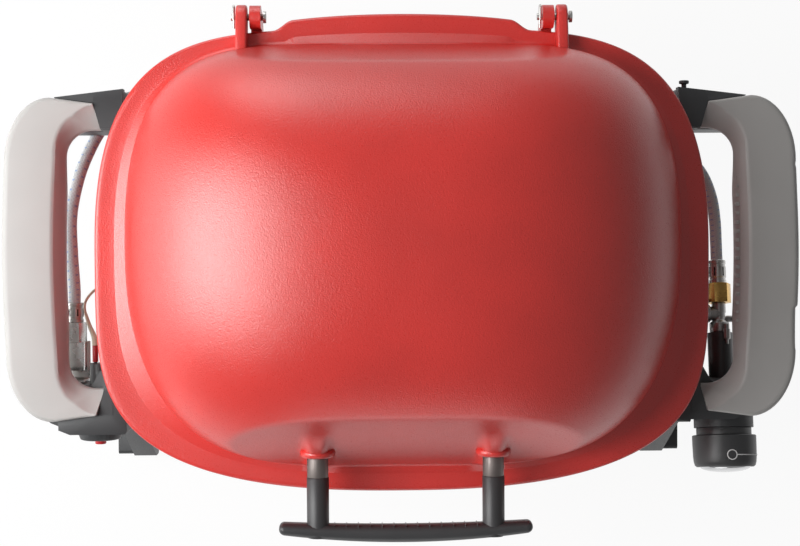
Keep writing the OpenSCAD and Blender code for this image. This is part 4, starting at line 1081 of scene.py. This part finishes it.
def area_lamp(name, place, target, power, size):
    lamp = bpy.data.lights.new(name, "AREA")
    lamp.shape = "DISK"
    lamp.energy = power
    lamp.size = size
    holder = bpy.data.objects.new(name, lamp)
    bpy.context.scene.collection.objects.link(holder)
    holder.location = place
    holder.rotation_euler = (Vector(target) - Vector(place)).to_track_quat("-Z", "Y").to_euler()


def floor_finish():
    """White floor that takes a faint shadow and shows white to the camera and to glossy surfaces."""
    material = bpy.data.materials.new("studio_floor")
    material.use_nodes = True
    nodes, links = material.node_tree.nodes, material.node_tree.links
    shader = nodes["Principled BSDF"]
    shader.inputs["Base Color"].default_value = (0.85, 0.85, 0.85, 1)
    shader.inputs["Roughness"].default_value = 0.9
    glow = nodes.new("ShaderNodeEmission")
    rays = nodes.new("ShaderNodeLightPath")
    mix = nodes.new("ShaderNodeMixShader")
    seen = None
    for ray in ("Is Camera Ray", "Is Glossy Ray", "Is Transmission Ray"):
        if seen is None:
            seen = rays.outputs[ray]
            continue
        both = nodes.new("ShaderNodeMath")
        both.operation = "MAXIMUM"
        links.new(seen, both.inputs[0])
        links.new(rays.outputs[ray], both.inputs[1])
        seen = both.outputs["Value"]
    share = nodes.new("ShaderNodeMath")
    share.operation = "MULTIPLY"
    share.inputs[1].default_value = FLOOR_WHITE
    links.new(seen, share.inputs[0])
    links.new(share.outputs["Value"], mix.inputs["Fac"])
    links.new(shader.outputs["BSDF"], mix.inputs[1])
    links.new(glow.outputs["Emission"], mix.inputs[2])
    links.new(mix.outputs["Shader"], nodes["Material Output"].inputs["Surface"])
    return material


def studio_world():
    """Soft white surroundings: dim as a light, brighter in reflections and white to the camera."""
    world = bpy.data.worlds.new("studio")
    world.use_nodes = True
    nodes, links = world.node_tree.nodes, world.node_tree.links
    sky = nodes["Background"]
    sky.inputs["Color"].default_value = (1.0, 1.0, 1.0, 1.0)
    rays = nodes.new("ShaderNodeLightPath")
    level = None
    for ray, share in (("Is Camera Ray", 1.0 - AMBIENT), ("Is Glossy Ray", REFLECTED - AMBIENT)):
        step = nodes.new("ShaderNodeMath")
        step.operation = "MULTIPLY_ADD"
        links.new(rays.outputs[ray], step.inputs[0])
        step.inputs[1].default_value = share
        step.inputs[2].default_value = AMBIENT
        if level:
            links.new(level, step.inputs[2])
        level = step.outputs["Value"]
    links.new(level, sky.inputs["Strength"])
    return world


class GRILL_OT_stage(bpy.types.Operator):
    """Floor, lights, world and the photograph's camera"""

    bl_idname = "grill.stage"
    bl_label = "Stage"

    def execute(self, context):
        scene = context.scene
        scene.view_settings.view_transform = "Standard"
        bm = bmesh.new()
        bmesh.ops.create_grid(bm, x_segments=2, y_segments=2, size=6.0)
        mesh = bpy.data.meshes.new("floor")
        bm.to_mesh(mesh)
        bm.free()
        floor = bpy.data.objects.new("floor", mesh)
        scene.collection.objects.link(floor)
        mesh.materials.append(floor_finish())

        scene.world = studio_world()
        for name, lamp in LAMPS.items():
            area_lamp(name, *lamp)

        lens = bpy.data.cameras.new("camera")
        lens.sensor_fit = "HORIZONTAL"
        lens.sensor_width = SENSOR_MM
        lens.lens = FOCAL_PIXELS/IMAGE_WIDTH*SENSOR_MM
        lens.clip_end = 50.0
        camera = bpy.data.objects.new("camera", lens)
        scene.collection.objects.link(camera)
        turn = Matrix.Identity(4)
        for angle, axis in zip(CAMERA_TILT, "XYZ"):
            turn = turn @ Matrix.Rotation(-angle, 4, axis)
        camera.matrix_world = Matrix.Translation(CAMERA_PLACE) @ turn
        scene.camera = camera
        return {"FINISHED"}


STEPS = (GRILL_OT_stage, GRILL_OT_lid, GRILL_OT_handle, GRILL_OT_cookbox, GRILL_OT_burner, GRILL_OT_frame,
         GRILL_OT_grips, GRILL_OT_tray, GRILL_OT_gas_line, GRILL_OT_knob, GRILL_OT_igniter)


class GRILL_PT_pieces(bpy.types.Panel):
    """Lists the pieces of the grill and their sizes and colours"""

    bl_label = "Gas grill"
    bl_idname = "GRILL_PT_pieces"
    bl_space_type = "VIEW_3D"
    bl_region_type = "UI"
    bl_category = "Grill"

    def draw(self, context):
        for step in STEPS:
            self.layout.operator(step.bl_idname)
        for group in (context.scene.grill_sizes, context.scene.grill_colours):
            for name in group.bl_rna.properties.keys():
                if name not in ("rna_type", "name"):
                    self.layout.prop(group, name)


CLASSES = (GrillSizes, GrillColours, *STEPS, GRILL_PT_pieces)


def register():
    for item in CLASSES:
        bpy.utils.register_class(item)
    bpy.types.Scene.grill_sizes = PointerProperty(type=GrillSizes)
    bpy.types.Scene.grill_colours = PointerProperty(type=GrillColours)


def unregister():
    del bpy.types.Scene.grill_colours
    del bpy.types.Scene.grill_sizes
    for item in reversed(CLASSES):
        bpy.utils.unregister_class(item)


def main():
    register()
    make_finishes(bpy.context)
    for step in STEPS:
        group, name = step.bl_idname.split(".")
        getattr(getattr(bpy.ops, group), name)()


if __name__ == "__main__":
    main()
